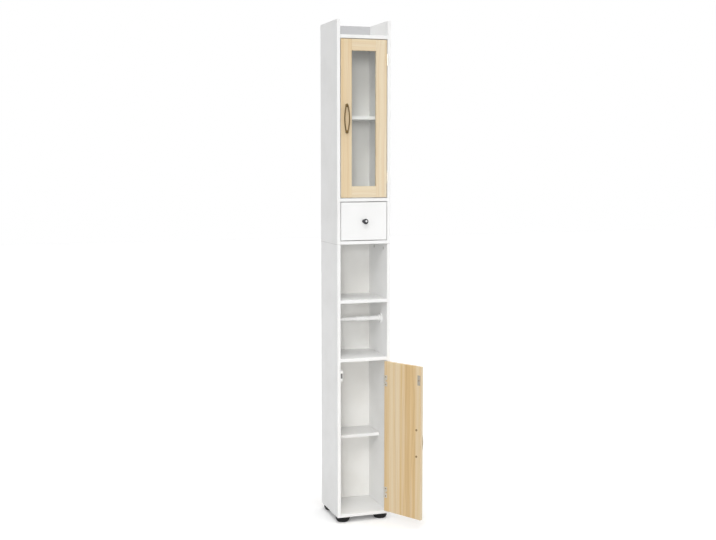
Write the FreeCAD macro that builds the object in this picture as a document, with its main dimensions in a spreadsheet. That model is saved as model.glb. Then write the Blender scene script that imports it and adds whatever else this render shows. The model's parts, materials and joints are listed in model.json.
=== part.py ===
import FreeCAD, Part
import os
import re
import Sketcher

# Driving dimensions in millimetres, degrees and shares
SIZES = (
    # Carcass
    ("width", 200, "outer width"),
    ("depth", 200, "outer depth"),
    ("board", 12, "thickness of the white boards"),
    ("back_board", 3, "thickness of the backs and of the drawer bottom"),
    ("foot_rise", 20, "floor to the underside of the base"),
    ("lower_bay", 560, "clear height behind the lower door"),
    ("roll_bay", 200, "clear height of the roll bay"),
    ("towel_bay", 200, "clear height of the open bay"),
    ("drawer_bay", 140, "clear height of the drawer bay"),
    ("upper_bay", 560, "clear height behind the glazed door"),
    ("gallery", 52, "upstand round the top tray"),
    ("edge_ease", 0.6, "rounding of board edges"),
    ("upper_shelf_depth", 160, "depth of the upper shelf"),
    ("lower_shelf_depth", 120, "depth of the lower shelf"),
    ("shelf_play", 1, "side play of a loose shelf"),
    ("lower_shelf_rise", 262, "bay floor to the lower shelf"),
    ("upper_shelf_rise", 279, "bay floor to the upper shelf"),
    # Fits
    ("front_gap", 2.4, "gap round doors and drawer front"),
    ("run_gap", 0.3, "clearance between pieces that move past each other"),
    ("fit_gap", 0.1, "radial clearance of fasteners in their holes"),
    ("pin_gap", 0.05, "radial clearance of a hinge knuckle on its pin"),
    # Joinery
    ("cam_r", 6, "radius of a cam nut"),
    ("cam_depth", 9, "height of a cam nut"),
    ("cam_reach", 19, "board end to cam centre"),
    ("cam_slot", 1.6, "width and depth of a drive slot"),
    ("cam_front", 40, "front edge to the first cam"),
    ("cam_back", 57, "back edge to the second cam"),
    ("cam_step", 14, "cams of the boards inside those of the side panels"),
    ("bolt_r", 2.5, "radius of a cam bolt"),
    ("bolt_hold", 8, "length of a bolt or dowel in a panel face"),
    ("dowel_r", 3, "radius of a dowel"),
    ("dowel_end", 16, "length of a dowel in a board end"),
    ("peg_r", 2.5, "radius of a shelf peg"),
    ("peg_reach", 8, "length of a peg under the shelf"),
    ("peg_inset", 20, "shelf edge to peg"),
    ("nail_r", 0.8, "radius of a back nail"),
    ("nail_head_r", 2.2, "radius of a nail head"),
    ("nail_head", 0.8, "thickness of a nail head"),
    ("nail_length", 15, "length of a back nail"),
    ("nail_inset", 30, "side of a back to its nail"),
    ("wall_spacing", 120, "spacing of the wall fixing holes"),
    ("wall_hole_r", 2.5, "radius of a wall fixing hole"),
    ("wall_rise", 12, "tray floor to the wall fixing holes"),
    # Screws
    ("screw_r", 1.4, "radius of a countersunk screw"),
    ("screw_head_r", 2.7, "radius of its head"),
    ("screw_length", 9, "length of a countersunk screw"),
    ("stud_r", 2, "radius of a handle screw"),
    ("stud_head_r", 3.8, "radius of its head"),
    ("stud_head", 2.2, "height of its head"),
    ("stud_bite", 6, "length of a handle screw in its handle"),
    # Feet
    ("foot_r", 26, "radius of a foot at its top"),
    ("foot_base_r", 21, "radius of a foot on the floor"),
    ("foot_edge", 4, "rounding of a foot"),
    ("foot_inset", 28, "carcass side to foot centre"),
    ("foot_recess_r", 5, "radius of the screw recess in a foot"),
    ("foot_web", 5, "foot thickness under its screw head"),
    # Doors
    ("door_board", 12, "thickness of the doors"),
    ("stile", 40, "width of the stiles and rails"),
    ("front_lip", 6, "door thickness in front of the glass"),
    ("rebate", 6, "width of the glass rebate"),
    ("glass", 3, "thickness of the glass"),
    ("glass_play", 0.5, "play of glass and beads in the rebate"),
    ("tenon", 20, "length of a rail tenon"),
    ("tenon_share", 0.34, "share of the door thickness taken by a tenon"),
    ("tenon_set_share", 0.08, "share of the door thickness in front of a tenon, short of the glass"),
    ("open_angle", 119, "angle at which the lower door stands open"),
    # Hinges
    ("leaf", 1.1, "thickness of a hinge leaf and of a screw head"),
    ("leaf_gap", 0.4, "clearance between shut leaves"),
    ("hinge_length", 40, "height of a hinge"),
    ("hinge_inset", 70.5, "door end to hinge centre"),
    ("knuckle_r", 2.4, "radius of a knuckle"),
    ("hinge_pin_r", 1.1, "radius of a hinge pin"),
    ("pin_proud", 2.8, "hinge axis in front of the door face"),
    ("leaf_depth", 24, "depth of the leaf on the side panel"),
    ("leaf_wrap", 14, "width of the leaf on the door back"),
    ("leaf_edge", 6, "leaf edge to screw centre"),
    ("knuckle_share", 0.4, "share of the hinge height taken by the door knuckle"),
    # Handles
    ("handle_span", 96, "spacing of the handle posts"),
    ("handle_width", 22, "width over the two bows"),
    ("handle_rod_r", 2.3, "radius of a bow"),
    ("handle_split", 0.2, "half the gap between the ends of the bows"),
    ("handle_bow", 1, "bows proud of the posts at mid height"),
    ("handle_stand", 10.5, "door face to the ends of the bows"),
    ("handle_post_r", 3, "radius of a handle post"),
    ("handle_inset", 19, "free edge of the door to the handle"),
    # Magnetic catches
    ("catch_reach", 13, "side panel to the face of a catch"),
    ("catch_depth", 15, "depth of a catch"),
    ("catch_height", 40, "height of a catch"),
    ("catch_drop", 49.5, "door top to catch centre"),
    ("catch_web", 3, "catch thickness under its screw heads"),
    ("catch_screw_pitch", 30, "spacing of the screws of a catch"),
    ("magnet_reach", 9, "width of a magnet"),
    ("magnet_depth", 8, "depth of a magnet"),
    ("magnet_height", 18, "height of a magnet"),
    ("strike", 1, "thickness of a strike plate"),
    ("strike_width", 13, "width of a strike plate"),
    ("strike_height", 36, "height of a strike plate"),
    ("strike_inset", 2, "free edge of the door to the strike plate"),
    # Roll holder
    ("rod_setback", 70, "front to the rod"),
    ("rod_drop", 66, "bay ceiling to the rod"),
    ("rod_r", 8.5, "outer radius of the tube"),
    ("rod_wall", 1.6, "wall of the tube"),
    ("tube_share", 0.55, "share of the rod length taken by the tube"),
    ("lap_share", 0.3, "share of the rod length where the plunger is in the tube"),
    ("pintle_r", 5, "radius of the rod ends"),
    ("pintle_length", 7, "length of the rod ends"),
    ("socket_r", 20, "radius of a socket flange"),
    ("socket_base", 3, "thickness of a socket flange"),
    ("socket_edge", 1, "rounding of a socket"),
    ("hub_r", 11, "radius of a socket hub"),
    ("hub_reach", 11, "side panel to the face of a hub"),
    ("socket_screw_pitch", 31, "spacing of the screws of a socket"),
    ("spring_wall", 1, "thickness of the spring"),
    # Drawer
    ("drawer_side", 10, "thickness of the drawer box"),
    ("drawer_side_height", 100, "height of the drawer box"),
    ("drawer_play", 2, "side play of the drawer box"),
    ("drawer_length", 172, "depth of the drawer box behind its front"),
    ("groove", 5, "depth of the bottom groove"),
    ("groove_lift", 8, "drawer edge to the bottom groove"),
    ("knob_r", 9.6, "radius of the knob"),
    ("knob_head", 10, "thickness of the knob head"),
    ("knob_neck_r", 5, "radius of the knob neck"),
    ("knob_foot_r", 6.8, "radius of the knob foot"),
    ("knob_foot", 3, "thickness of the knob foot"),
    ("knob_reach", 24, "drawer face to the knob top"),
    ("knob_edge", 3.6, "rounding of the knob"),
)
ALIASES = {alias for alias, value, note in SIZES}

# Levels from the floor up, as expressions of the sheet
BASE_BOARD = "foot_rise"
LOWER_FLOOR = f"({BASE_BOARD} + board)"
ROLL_BOARD = f"({LOWER_FLOOR} + lower_bay)"
ROLL_FLOOR = f"({ROLL_BOARD} + board)"
TOWEL_BOARD = f"({ROLL_FLOOR} + roll_bay)"
TOWEL_FLOOR = f"({TOWEL_BOARD} + board)"
MIDDLE_BOARD = f"({TOWEL_FLOOR} + towel_bay)"
DRAWER_FLOOR = f"({MIDDLE_BOARD} + board)"
DIVIDER_BOARD = f"({DRAWER_FLOOR} + drawer_bay)"
UPPER_FLOOR = f"({DIVIDER_BOARD} + board)"
TOP_BOARD = f"({UPPER_FLOOR} + upper_bay)"
TRAY_FLOOR = f"({TOP_BOARD} + board)"
TOP = f"({TRAY_FLOOR} + gallery)"

# Widths, depths and shared spots; zero is on the floor under the front left foot
LEFT = "(-foot_inset)"
RIGHT = "(width - foot_inset)"
FRONT = "(-foot_inset)"
BACK = "(depth - foot_inset)"
MIDDLE_X = "(width / 2 - foot_inset)"
INNER_LEFT = f"({LEFT} + board)"
INNER_RIGHT = f"({RIGHT} - board)"
INNER_WIDTH = "(width - 2 * board)"
BOARD_DEPTH = "(depth - back_board)"
SEAM_SPOTS = ("cam_front", f"({BOARD_DEPTH} - cam_back)")
SEAM_DOWEL = f"(({SEAM_SPOTS[0]} + {SEAM_SPOTS[1]}) / 2 + cam_step)"
CAM_SPOTS = ("(cam_front + cam_step)", f"({BOARD_DEPTH} - cam_back - cam_step)")
DOWEL_SPOT = f"(({CAM_SPOTS[0]} + {CAM_SPOTS[1]}) / 2)"
NAIL_SPOTS = ("nail_inset", f"({INNER_WIDTH} - nail_inset)")
PILOT = "(screw_r + fit_gap)"

# The hinge axis and the doors, measured from that axis with the door shut
HINGE_GAP = "(2 * leaf + leaf_gap)"
PIN_X = f"({INNER_RIGHT} - {HINGE_GAP} / 2)"
PIN_Y = f"({FRONT} - pin_proud)"
DOOR_WIDTH = f"({INNER_WIDTH} - {HINGE_GAP} - front_gap)"
DOOR_EDGE = f"(-{HINGE_GAP} / 2)"
DOOR_FREE = f"({DOOR_EDGE} - {DOOR_WIDTH})"
DOOR_BACK = "(pin_proud + door_board)"
LEAF_SCREW_PITCH = "(hinge_length - 2 * leaf_edge)"
LEAF_SCREW_DEPTH = "(leaf_depth - leaf_edge)"
HANDLE_X = f"({DOOR_FREE} + handle_inset)"
STRIKE_X = f"({DOOR_FREE} + strike_inset + strike_width / 2)"
CATCH_FRONT = "(door_board + strike + run_gap)"

# The two doors: name, bay floor, bay height and angle
DOORS = (
    ("upper", UPPER_FLOOR, "upper_bay", "0"),
    ("lower", LOWER_FLOOR, "lower_bay", "open_angle"),
)

# The roll rod, along X
ROD_Y = f"({FRONT} + rod_setback)"
ROD_Z = f"({TOWEL_BOARD} - rod_drop)"
ROD_LENGTH = f"({INNER_WIDTH} - 2 * hub_reach - 2 * run_gap)"
BORE_R = "(rod_r - rod_wall)"
PLUNGER_R = f"({BORE_R} - run_gap)"
TUBE_LENGTH = f"({ROD_LENGTH} * tube_share)"
PLUNGER_LENGTH = f"({ROD_LENGTH} - {TUBE_LENGTH} + {ROD_LENGTH} * lap_share)"
SPRING_LENGTH = f"({TUBE_LENGTH} - rod_wall - {ROD_LENGTH} * lap_share)"

# The drawer box
BOX_WIDTH = f"({INNER_WIDTH} - 2 * drawer_play)"
BOX_LEFT = f"({INNER_LEFT} + drawer_play)"
BOX_FRONT = f"({FRONT} + door_board)"
BOX_FLOOR = f"({DRAWER_FLOOR} + run_gap)"
FRONT_WIDTH = f"({INNER_WIDTH} - 2 * front_gap)"
FRONT_HEIGHT = "(drawer_bay - 2 * front_gap)"

# Turns that carry +Z to a named direction
UP = "rotation(vector(0; 0; 1); 0)"
DOWN = "rotation(vector(1; 0; 0); 180)"
RIGHTWARD = "rotation(vector(0; 1; 0); 90)"
LEFTWARD = "rotation(vector(0; 1; 0); -90)"
BACKWARD = "rotation(vector(1; 0; 0); -90)"
FORWARD = "rotation(vector(1; 0; 0); 90)"

ORIGIN = ("0", "0", "0")
nodes = []

doc = FreeCAD.newDocument("TallCabinet")
sheet = doc.addObject("Spreadsheet::Sheet", "Sizes")
for row, (alias, value, note) in enumerate(SIZES, start=1):
    sheet.set(f"A{row}", note)
    sheet.set(f"B{row}", str(value))
    sheet.setAlias(f"B{row}", alias)
doc.recompute()


def bound(text):
    """An expression with every alias written as a cell of the sheet."""
    return re.sub(r"[a-z_]+", lambda word: f"Sizes.{word[0]}" if word[0] in ALIASES else word[0], text)


def number(text):
    """The present value of an expression."""
    return float(sheet.evalExpression(bound(text)))


def bind(item, **sizes):
    """Bind properties of a document object to expressions."""
    for name, text in sizes.items():
        item.setExpression(name, bound(text))


def place(item, corner, turn=UP):
    """Put a document object at a corner, turned."""
    item.setExpression("Placement", bound(f"placement(vector({'; '.join(corner)}); {turn})"))


def hang(item, floor, angle, spot=ORIGIN):
    """Put a piece of a door at a spot measured from the hinge axis, the door being open by an angle."""
    x, y, z = spot
    base = f"vector({PIN_X} + {x}; {PIN_Y} + {y}; {floor} + front_gap + {z})"
    swing = f"rotation(vector(0; 0; 1); {angle})"
    item.setExpression("Placement", bound(f"placement({base}; {swing}; vector(-({x}); -({y}); 0))"))


def keep(item, label):
    """Give a sub-part its name and list it for writing."""
    item.Label = label
    nodes.append(item)
    return item


# Part primitives and booleans
def solid(kind, name, corner, turn=UP, **sizes):
    """A Part primitive with bound sizes at a corner."""
    item = doc.addObject(f"Part::{kind}", name)
    bind(item, **sizes)
    place(item, corner, turn)
    return item


def box(name, corner, length, width, height):
    """A box from its lowest corner."""
    return solid("Box", name, corner, Length=length, Width=width, Height=height)


def rod(name, corner, radius, height, turn=UP):
    """A cylinder from the centre of its base."""
    return solid("Cylinder", name, corner, turn, Radius=radius, Height=height)


def seat(name, corner, depth, turn=UP):
    """The countersunk hole of a screw whose head is flush at a corner."""
    cone = solid("Cone", f"{name}_sink", corner, turn,
                 Radius1="screw_head_r + fit_gap", Radius2=PILOT, Height="leaf")
    return [cone, rod(f"{name}_hole", corner, PILOT, depth, turn)]


def joined(name, pieces):
    """One solid from several that meet."""
    item = doc.addObject("Part::MultiFuse", name)
    item.Shapes = pieces
    item.Refine = True
    return item


def pierced(name, base, tools):
    """A solid less several others."""
    item = doc.addObject("Part::Cut", name)
    item.Base = base
    item.Tool = tools[0] if len(tools) == 1 else joined(f"{name}_tools", tools)
    return item


def copies(name, spots):
    """Separate copies of pattern pieces in one node; a spot is a pattern, a corner and a turn."""
    links = []
    for count, (pattern, corner, turn) in enumerate(spots, start=1):
        link = doc.addObject("App::Link", f"{name}_{count}")
        link.LinkedObject = pattern
        place(link, corner, turn)
        links.append(link)
    group = doc.addObject("Part::Compound", name)
    group.Links = links
    return group


# PartDesign bodies
def sketch_on(body, name, role, offset="0"):
    """A sketch on one of the body's own planes, moved along its normal."""
    sketch = body.newObject("Sketcher::SketchObject", name)
    sketch.AttachmentSupport = [(next(f for f in body.Origin.OriginFeatures if f.Role == role), "")]
    sketch.MapMode = "FlatFace"
    sketch.setExpression("AttachmentOffset.Base.z", bound(offset))
    return sketch


def tie(sketch, kind, *where):
    """A sketch constraint whose value is an expression."""
    *spots, text = where
    index = sketch.addConstraint(Sketcher.Constraint(kind, *spots, number(text)))
    sketch.renameConstraint(index, f"{kind}{index}")
    sketch.setExpression(f"Constraints.{kind}{index}", bound(text))


def pin_down(sketch, curve, point, spot):
    """Fix a point of a curve at a spot measured from the sketch origin."""
    for kind, text, axis in (("DistanceX", spot[0], -2), ("DistanceY", spot[1], -1)):
        if text == "0":
            sketch.addConstraint(Sketcher.Constraint("PointOnObject", curve, point, axis))
        else:
            tie(sketch, kind, -1, 1, curve, point, text)


def outline(sketch, spots):
    """A closed outline of straight lines through spots."""
    corners = [FreeCAD.Vector(number(x), number(y), 0) for x, y in spots]
    lines = [sketch.addGeometry(Part.LineSegment(a, b)) for a, b in zip(corners, corners[1:] + corners[:1])]
    for line, after in zip(lines, lines[1:] + lines[:1]):
        sketch.addConstraint(Sketcher.Constraint("Coincident", line, 2, after, 1))
    for line, spot in zip(lines, spots):
        pin_down(sketch, line, 1, spot)


def drill(body, role, offset, spots, radius, depth, along=False):
    """Blind holes at spots of a plane, drilled against its normal or along it."""
    count = len(body.Group)
    sketch = sketch_on(body, f"{body.Name}_spots_{count}", role, offset)
    for x, y in spots:
        centre = FreeCAD.Vector(number(x), number(y), 0)
        circle = sketch.addGeometry(Part.Circle(centre, FreeCAD.Vector(0, 0, 1), number(radius)))
        pin_down(sketch, circle, 3, (x, y))
        tie(sketch, "Radius", circle, radius)
    doc.recompute()
    pocket = body.newObject("PartDesign::Pocket", f"{body.Name}_holes_{count}")
    pocket.Profile = sketch
    pocket.Reversed = along
    bind(pocket, Length=depth)


def soften(body, radius, chosen=None):
    """Round the chosen edges of a body, or all of them."""
    doc.recompute()
    tip = body.Tip
    edges = [f"Edge{i}" for i, edge in enumerate(tip.Shape.Edges, start=1) if chosen is None or chosen(edge)]
    fillet = body.newObject("PartDesign::Fillet", f"{body.Name}_ease")
    fillet.Base = (tip, edges)
    bind(fillet, Radius=radius)


def panel(name, length, width, height, ease="edge_ease"):
    """A board with eased edges, from its own corner."""
    body = doc.addObject("PartDesign::Body", name)
    blank = body.newObject("PartDesign::AdditiveBox", f"{name}_blank")
    bind(blank, Length=length, Width=width, Height=height)
    soften(body, ease)
    return body


def carve(body, name, corner, length, width, height):
    """A box taken out of a body."""
    tool = body.newObject("PartDesign::SubtractiveBox", f"{body.Name}_{name}")
    bind(tool, Length=length, Width=width, Height=height)
    place(tool, corner)


def grow(body, name, corner, length, width, height):
    """A box added to a body."""
    tool = body.newObject("PartDesign::AdditiveBox", f"{body.Name}_{name}")
    bind(tool, Length=length, Width=width, Height=height)
    place(tool, corner)


def sink(body, corner, turn):
    """A countersink in a body for a screw head flush at a corner."""
    tool = body.newObject("PartDesign::SubtractiveCone", f"{body.Name}_sink")
    bind(tool, Radius1="screw_head_r + fit_gap", Radius2=PILOT, Height="leaf")
    place(tool, corner, turn)


def lathe(name, spots):
    """A piece turned about its own Z from an outline of radii and heights."""
    body = doc.addObject("PartDesign::Body", name)
    sketch = sketch_on(body, f"{name}_profile", "XZ_Plane")
    outline(sketch, spots)
    doc.recompute()
    turning = body.newObject("PartDesign::Revolution", f"{name}_turned")
    turning.Profile = sketch
    turning.ReferenceAxis = (sketch, ["V_Axis"])
    turning.Angle = 360
    return body


def ring(radius, height):
    """A test for round edges of a radius at a height."""
    def test(edge):
        curve = edge.Curve
        round_edge = isinstance(curve, Part.Circle)
        small = number("fit_gap") / 2
        right_size = round_edge and abs(curve.Radius - number(radius)) < small
        return right_size and abs(curve.Center.z - number(height)) < small
    return test


# Pattern pieces, each along its own Z
def screw_pattern():
    """A countersunk screw, head flush at zero, with a cross slot."""
    point = "screw_length - 2 * screw_r"
    body = lathe("screw_pattern", (("0", "0"), ("screw_head_r", "0"), ("screw_r", "leaf"), ("screw_r", point),
                                   ("0", "screw_length")))
    slot = "leaf / 2"
    for name, length, width in (("slot", "2 * screw_r", slot), ("cross", slot, "2 * screw_r")):
        carve(body, name, (f"-{length} / 2", f"-{width} / 2", "0"), length, width, slot)
    return body


def stud_pattern():
    """A handle screw, head under a door, with a drive slot."""
    length = "(door_board + stud_bite)"
    body = lathe("stud_pattern", (("0", "0"), ("stud_head_r", "0"), ("stud_head_r", "stud_head"),
                                  ("stud_r", "stud_head"), ("stud_r", f"stud_head + {length}"),
                                  ("0", f"stud_head + {length}")))
    carve(body, "slot", ("-stud_r", "-leaf / 2", "0"), "2 * stud_r", "leaf", "leaf")
    return body


def cam_pattern():
    """A cam nut with its bolt bore along X and a cross slot in its face."""
    body = lathe("cam_pattern", (("0", "0"), ("cam_r - fit_gap", "0"),
                                 ("cam_r - fit_gap", "cam_depth - fit_gap"),
                                 ("0", "cam_depth - fit_gap")))
    bore = body.newObject("PartDesign::SubtractiveCylinder", "cam_bore")
    bind(bore, Radius="bolt_r + run_gap", Height="2 * cam_r")
    place(bore, ("-cam_r / 2", "0", "board / 2"), RIGHTWARD)
    for name, length, width in (("slot", "cam_r", "cam_slot"), ("cross", "cam_slot", "cam_r")):
        carve(body, name, (f"-{length} / 2", f"-{width} / 2", "0"), length, width, "cam_slot")
    return body


def plain_pattern(name, radius, length):
    """A round pin with eased ends."""
    body = lathe(name, (("0", "0"), (radius, "0"), (radius, length), ("0", length)))
    soften(body, "edge_ease", lambda edge: isinstance(edge.Curve, Part.Circle))
    return body


def nail_pattern():
    """A flat-headed nail, the head standing behind zero."""
    return lathe("nail_pattern", (("0", "0"), ("nail_head_r", "0"), ("nail_head_r", "nail_head"),
                                  ("nail_r", "nail_head"), ("nail_r", "nail_head + nail_length"),
                                  ("0", "nail_head + nail_length")))


screw = screw_pattern()
stud = stud_pattern()
cam = cam_pattern()
bolt = plain_pattern("bolt_pattern", "bolt_r", "bolt_hold + cam_reach + bolt_r")
dowel = plain_pattern("dowel_pattern", "dowel_r", "bolt_hold + dowel_end")
peg = plain_pattern("peg_pattern", "peg_r", "bolt_hold + peg_reach")
nail = nail_pattern()
cabinet_screws = []
cam_nuts = []
cam_bolts = []
dowels = []
back_nails = []


# Side panels, from their lower front left corner
def hinge_heights(bay):
    """The centres of the two hinges of a door, from its bottom edge."""
    return ("hinge_inset", f"({bay} - 2 * front_gap - hinge_inset)")


def side_panel(name, hand, foot, head, boards):
    """A side panel between two levels, drilled for the ends of its boards."""
    inner = "board" if hand == "left" else "0"
    along = hand == "right"
    body = panel(name, "board", "depth", f"{head} - {foot}")
    place(body, (LEFT if hand == "left" else INNER_RIGHT, FRONT, foot))
    middles = [f"({level} + board / 2 - {foot})" for level in boards]
    bolts = [(spot, middle) for middle in middles for spot in CAM_SPOTS]
    pegs = [(DOWEL_SPOT, middle) for middle in middles]
    drill(body, "YZ_Plane", inner, bolts, "bolt_r + fit_gap", "bolt_hold + fit_gap", along)
    drill(body, "YZ_Plane", inner, pegs, "dowel_r + fit_gap", "bolt_hold + fit_gap", along)
    return body, inner, along


def pilot_holes(side, inner, along, foot, spots):
    """Pilot holes for screws at depths from the front and heights from the floor."""
    holes = [(y, f"({z} - {foot})") for y, z in spots]
    drill(side, "YZ_Plane", inner, holes, PILOT, "screw_length", along)


def shelf_front(depth):
    """Where a loose shelf of a depth starts, from the front of the carcass."""
    return f"({BOARD_DEPTH} - {depth})"


def peg_spots(depth):
    """Where the pegs of a loose shelf of a depth are, from the front of the carcass."""
    return f"({shelf_front(depth)} + peg_inset)", f"({BOARD_DEPTH} - peg_inset)"


def peg_holes(side, inner, along, foot, shelf):
    """Holes for the pegs of a loose shelf."""
    name, level, depth = shelf
    holes = [(y, f"({level} - peg_r - {foot})") for y in peg_spots(depth)]
    drill(side, "YZ_Plane", inner, holes, "peg_r + fit_gap", "bolt_hold + fit_gap", along)


# The loose shelves: name, level and depth
UPPER_SHELF = ("upper_shelf", f"({UPPER_FLOOR} + upper_shelf_rise)", "upper_shelf_depth")
LOWER_SHELF = ("lower_shelf", f"({LOWER_FLOOR} + lower_shelf_rise)", "lower_shelf_depth")
UPPER_BOARDS = (MIDDLE_BOARD, DIVIDER_BOARD, TOP_BOARD)
LOWER_BOARDS = (BASE_BOARD, ROLL_BOARD, TOWEL_BOARD)
SECTIONS = (
    ("upper", MIDDLE_BOARD, TOP, UPPER_BOARDS, UPPER_SHELF, DOORS[0]),
    ("lower", BASE_BOARD, MIDDLE_BOARD, LOWER_BOARDS, LOWER_SHELF, DOORS[1]),
)
SOCKET_SPOTS = [("rod_setback", f"({ROD_Z} {sign} socket_screw_pitch / 2)") for sign in "+-"]
RAIL_DOWELS = [f"({TRAY_FLOOR} + gallery * {share})" for share in ("1 / 4", "3 / 4")]


def fixing_spots(hand, door):
    """Screw spots on a side panel for the hinges on the right or the catch on the left."""
    name, floor, bay, angle = door
    if hand == "left":
        catch_z = f"{floor} + {bay} - front_gap - catch_drop"
        middle = f"({CATCH_FRONT} + catch_depth / 2)"
        return [(middle, f"({catch_z} {sign} catch_screw_pitch / 2)") for sign in "+-"]
    heights = hinge_heights(bay)
    return [(LEAF_SCREW_DEPTH, f"({floor} + front_gap + {z} {sign} {LEAF_SCREW_PITCH} / 2)")
            for z in heights for sign in "+-"]


def build_sides():
    """The four side panels, joined end to end by vertical cam bolts and dowels."""
    for section, foot, head, boards, shelf, door in SECTIONS:
        for hand in ("left", "right"):
            body, inner, along = side_panel(f"{section}_{hand}_side", hand, foot, head, boards)
            peg_holes(body, inner, along, foot, shelf)
            spots = fixing_spots(hand, door)
            if section == "lower":
                spots += SOCKET_SPOTS
            pilot_holes(body, inner, along, foot, spots)
            seam_spots = [("board / 2", spot) for spot in SEAM_SPOTS]
            seam_dowel = [("board / 2", SEAM_DOWEL)]
            if section == "upper":
                rail = [("depth - board / 2", f"({z} - {foot})") for z in RAIL_DOWELS]
                drill(body, "YZ_Plane", inner, rail, "dowel_r + fit_gap", "bolt_hold + fit_gap", along)
                drill(body, "XY_Plane", "0", seam_spots, "bolt_r + fit_gap", "bolt_hold + fit_gap", True)
                drill(body, "XY_Plane", "0", seam_dowel, "dowel_r + fit_gap", "bolt_hold + fit_gap", True)
            else:
                length = f"{head} - {foot}"
                cams = [(spot, f"({length} - cam_reach)") for spot in SEAM_SPOTS]
                drill(body, "YZ_Plane", inner, cams, "cam_r", "cam_depth", along)
                drill(body, "XY_Plane", length, seam_spots, "bolt_r + run_gap", "cam_reach")
                drill(body, "XY_Plane", length, seam_dowel, "dowel_r + fit_gap", "dowel_end + fit_gap")
            keep(body, f"{section}_{hand}_side")


def seam_fasteners():
    """The cam nuts, bolts and dowels that join lower to upper side panels."""
    for hand, face, middle in (("left", INNER_LEFT, f"({LEFT} + board / 2)"),
                               ("right", INNER_RIGHT, f"({RIGHT} - board / 2)")):
        lay = LEFTWARD if hand == "left" else RIGHTWARD
        roll = "rotation(vector(0; 0; 1); 0)" if hand == "left" else "rotation(vector(0; 0; 1); 180)"
        for spot in SEAM_SPOTS:
            y = f"({FRONT} + {spot})"
            cam_nuts.append((cam, (face, y, f"({MIDDLE_BOARD} - cam_reach)"), f"{lay} * {roll}"))
            cam_bolts.append((bolt, (middle, y, f"({MIDDLE_BOARD} + bolt_hold)"), DOWN))
        dowels.append((dowel, (middle, f"({FRONT} + {SEAM_DOWEL})", f"({MIDDLE_BOARD} + bolt_hold)"), DOWN))


# Boards between the side panels, from their lower front left corner
def fixed_board(name, level):
    """A board between the sides with cam nuts under both ends."""
    body = panel(name, INNER_WIDTH, BOARD_DEPTH, "board")
    place(body, (INNER_LEFT, FRONT, level))
    ends = [(spot, "board / 2") for spot in CAM_SPOTS]
    middle = [(DOWEL_SPOT, "board / 2")]
    for offset, along in (("0", True), (INNER_WIDTH, False)):
        drill(body, "YZ_Plane", offset, ends, "bolt_r + run_gap", "cam_reach", along)
        drill(body, "YZ_Plane", offset, middle, "dowel_r + fit_gap", "dowel_end + fit_gap", along)
    reaches = ("cam_reach", f"({INNER_WIDTH} - cam_reach)")
    cams = [(x, spot) for x in reaches for spot in CAM_SPOTS]
    drill(body, "XY_Plane", "0", cams, "cam_r", "cam_depth", True)
    height = f"({level} + board / 2)"
    nails = [(x, "board / 2") for x in NAIL_SPOTS]
    drill(body, "XZ_Plane", f"-{BOARD_DEPTH}", nails, "nail_r + fit_gap", "nail_length", True)
    back_nails.extend((nail, (f"({INNER_LEFT} + {x})", f"({BACK} + nail_head)", height), FORWARD)
                      for x in NAIL_SPOTS)
    for face, inward, reach, roll in ((INNER_LEFT, RIGHTWARD, "cam_reach", "180"),
                                      (INNER_RIGHT, LEFTWARD, "-cam_reach", "0")):
        start = f"({face} - {reach} / cam_reach * bolt_hold)"
        for spot in CAM_SPOTS:
            y = f"({FRONT} + {spot})"
            cam_nuts.append((cam, (f"({face} + {reach})", y, level), f"rotation(vector(0; 0; 1); {roll})"))
            cam_bolts.append((bolt, (start, y, height), inward))
        dowels.append((dowel, (start, f"({FRONT} + {DOWEL_SPOT})", height), inward))
    return keep(body, name)


def build_boards():
    """The six fixed boards; the base is also drilled for the feet."""
    fixed_board("top_panel", TOP_BOARD)
    fixed_board("upper_divider", DIVIDER_BOARD)
    fixed_board("middle_panel", MIDDLE_BOARD)
    fixed_board("towel_shelf", TOWEL_BOARD)
    fixed_board("roll_floor", ROLL_BOARD)
    base = fixed_board("base_panel", BASE_BOARD)
    spots = [(f"({x} - board)", y) for x in ("foot_inset", "width - foot_inset")
             for y in ("foot_inset", "depth - foot_inset")]
    drill(base, "XY_Plane", "0", spots, PILOT, "screw_length", True)


def gallery_rail():
    """The upstand behind the tray, dowelled to the sides, with the wall fixing holes."""
    rail = panel("gallery_rail", INNER_WIDTH, "board", "gallery")
    place(rail, (INNER_LEFT, f"({BACK} - board)", TRAY_FLOOR))
    ends = [("board / 2", f"gallery * {share}") for share in ("1 / 4", "3 / 4")]
    for offset, along in (("0", True), (INNER_WIDTH, False)):
        drill(rail, "YZ_Plane", offset, ends, "dowel_r + fit_gap", "dowel_end + fit_gap", along)
    holes = [(f"({INNER_WIDTH} {sign} wall_spacing) / 2", "wall_rise") for sign in "+-"]
    drill(rail, "XZ_Plane", "0", holes, "wall_hole_r", "board")
    for height in RAIL_DOWELS:
        y = f"({BACK} - board / 2)"
        dowels.append((dowel, (f"({INNER_LEFT} - bolt_hold)", y, height), RIGHTWARD))
        dowels.append((dowel, (f"({INNER_RIGHT} + bolt_hold)", y, height), LEFTWARD))
    keep(rail, "gallery_rail")


def build_backs():
    """The two thin backs, nailed to the board ends, between the side panels."""
    for name, foot, head, boards in (("lower_back", BASE_BOARD, MIDDLE_BOARD, LOWER_BOARDS),
                                     ("upper_back", MIDDLE_BOARD, TRAY_FLOOR, UPPER_BOARDS)):
        back = panel(name, INNER_WIDTH, "back_board", f"{head} - {foot}", "edge_ease / 2")
        place(back, (INNER_LEFT, f"({BACK} - back_board)", foot))
        nails = [(x, f"({level} + board / 2 - {foot})") for level in boards for x in NAIL_SPOTS]
        drill(back, "XZ_Plane", "-back_board", nails, "nail_r + fit_gap", "back_board", True)
        keep(back, name)


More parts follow.
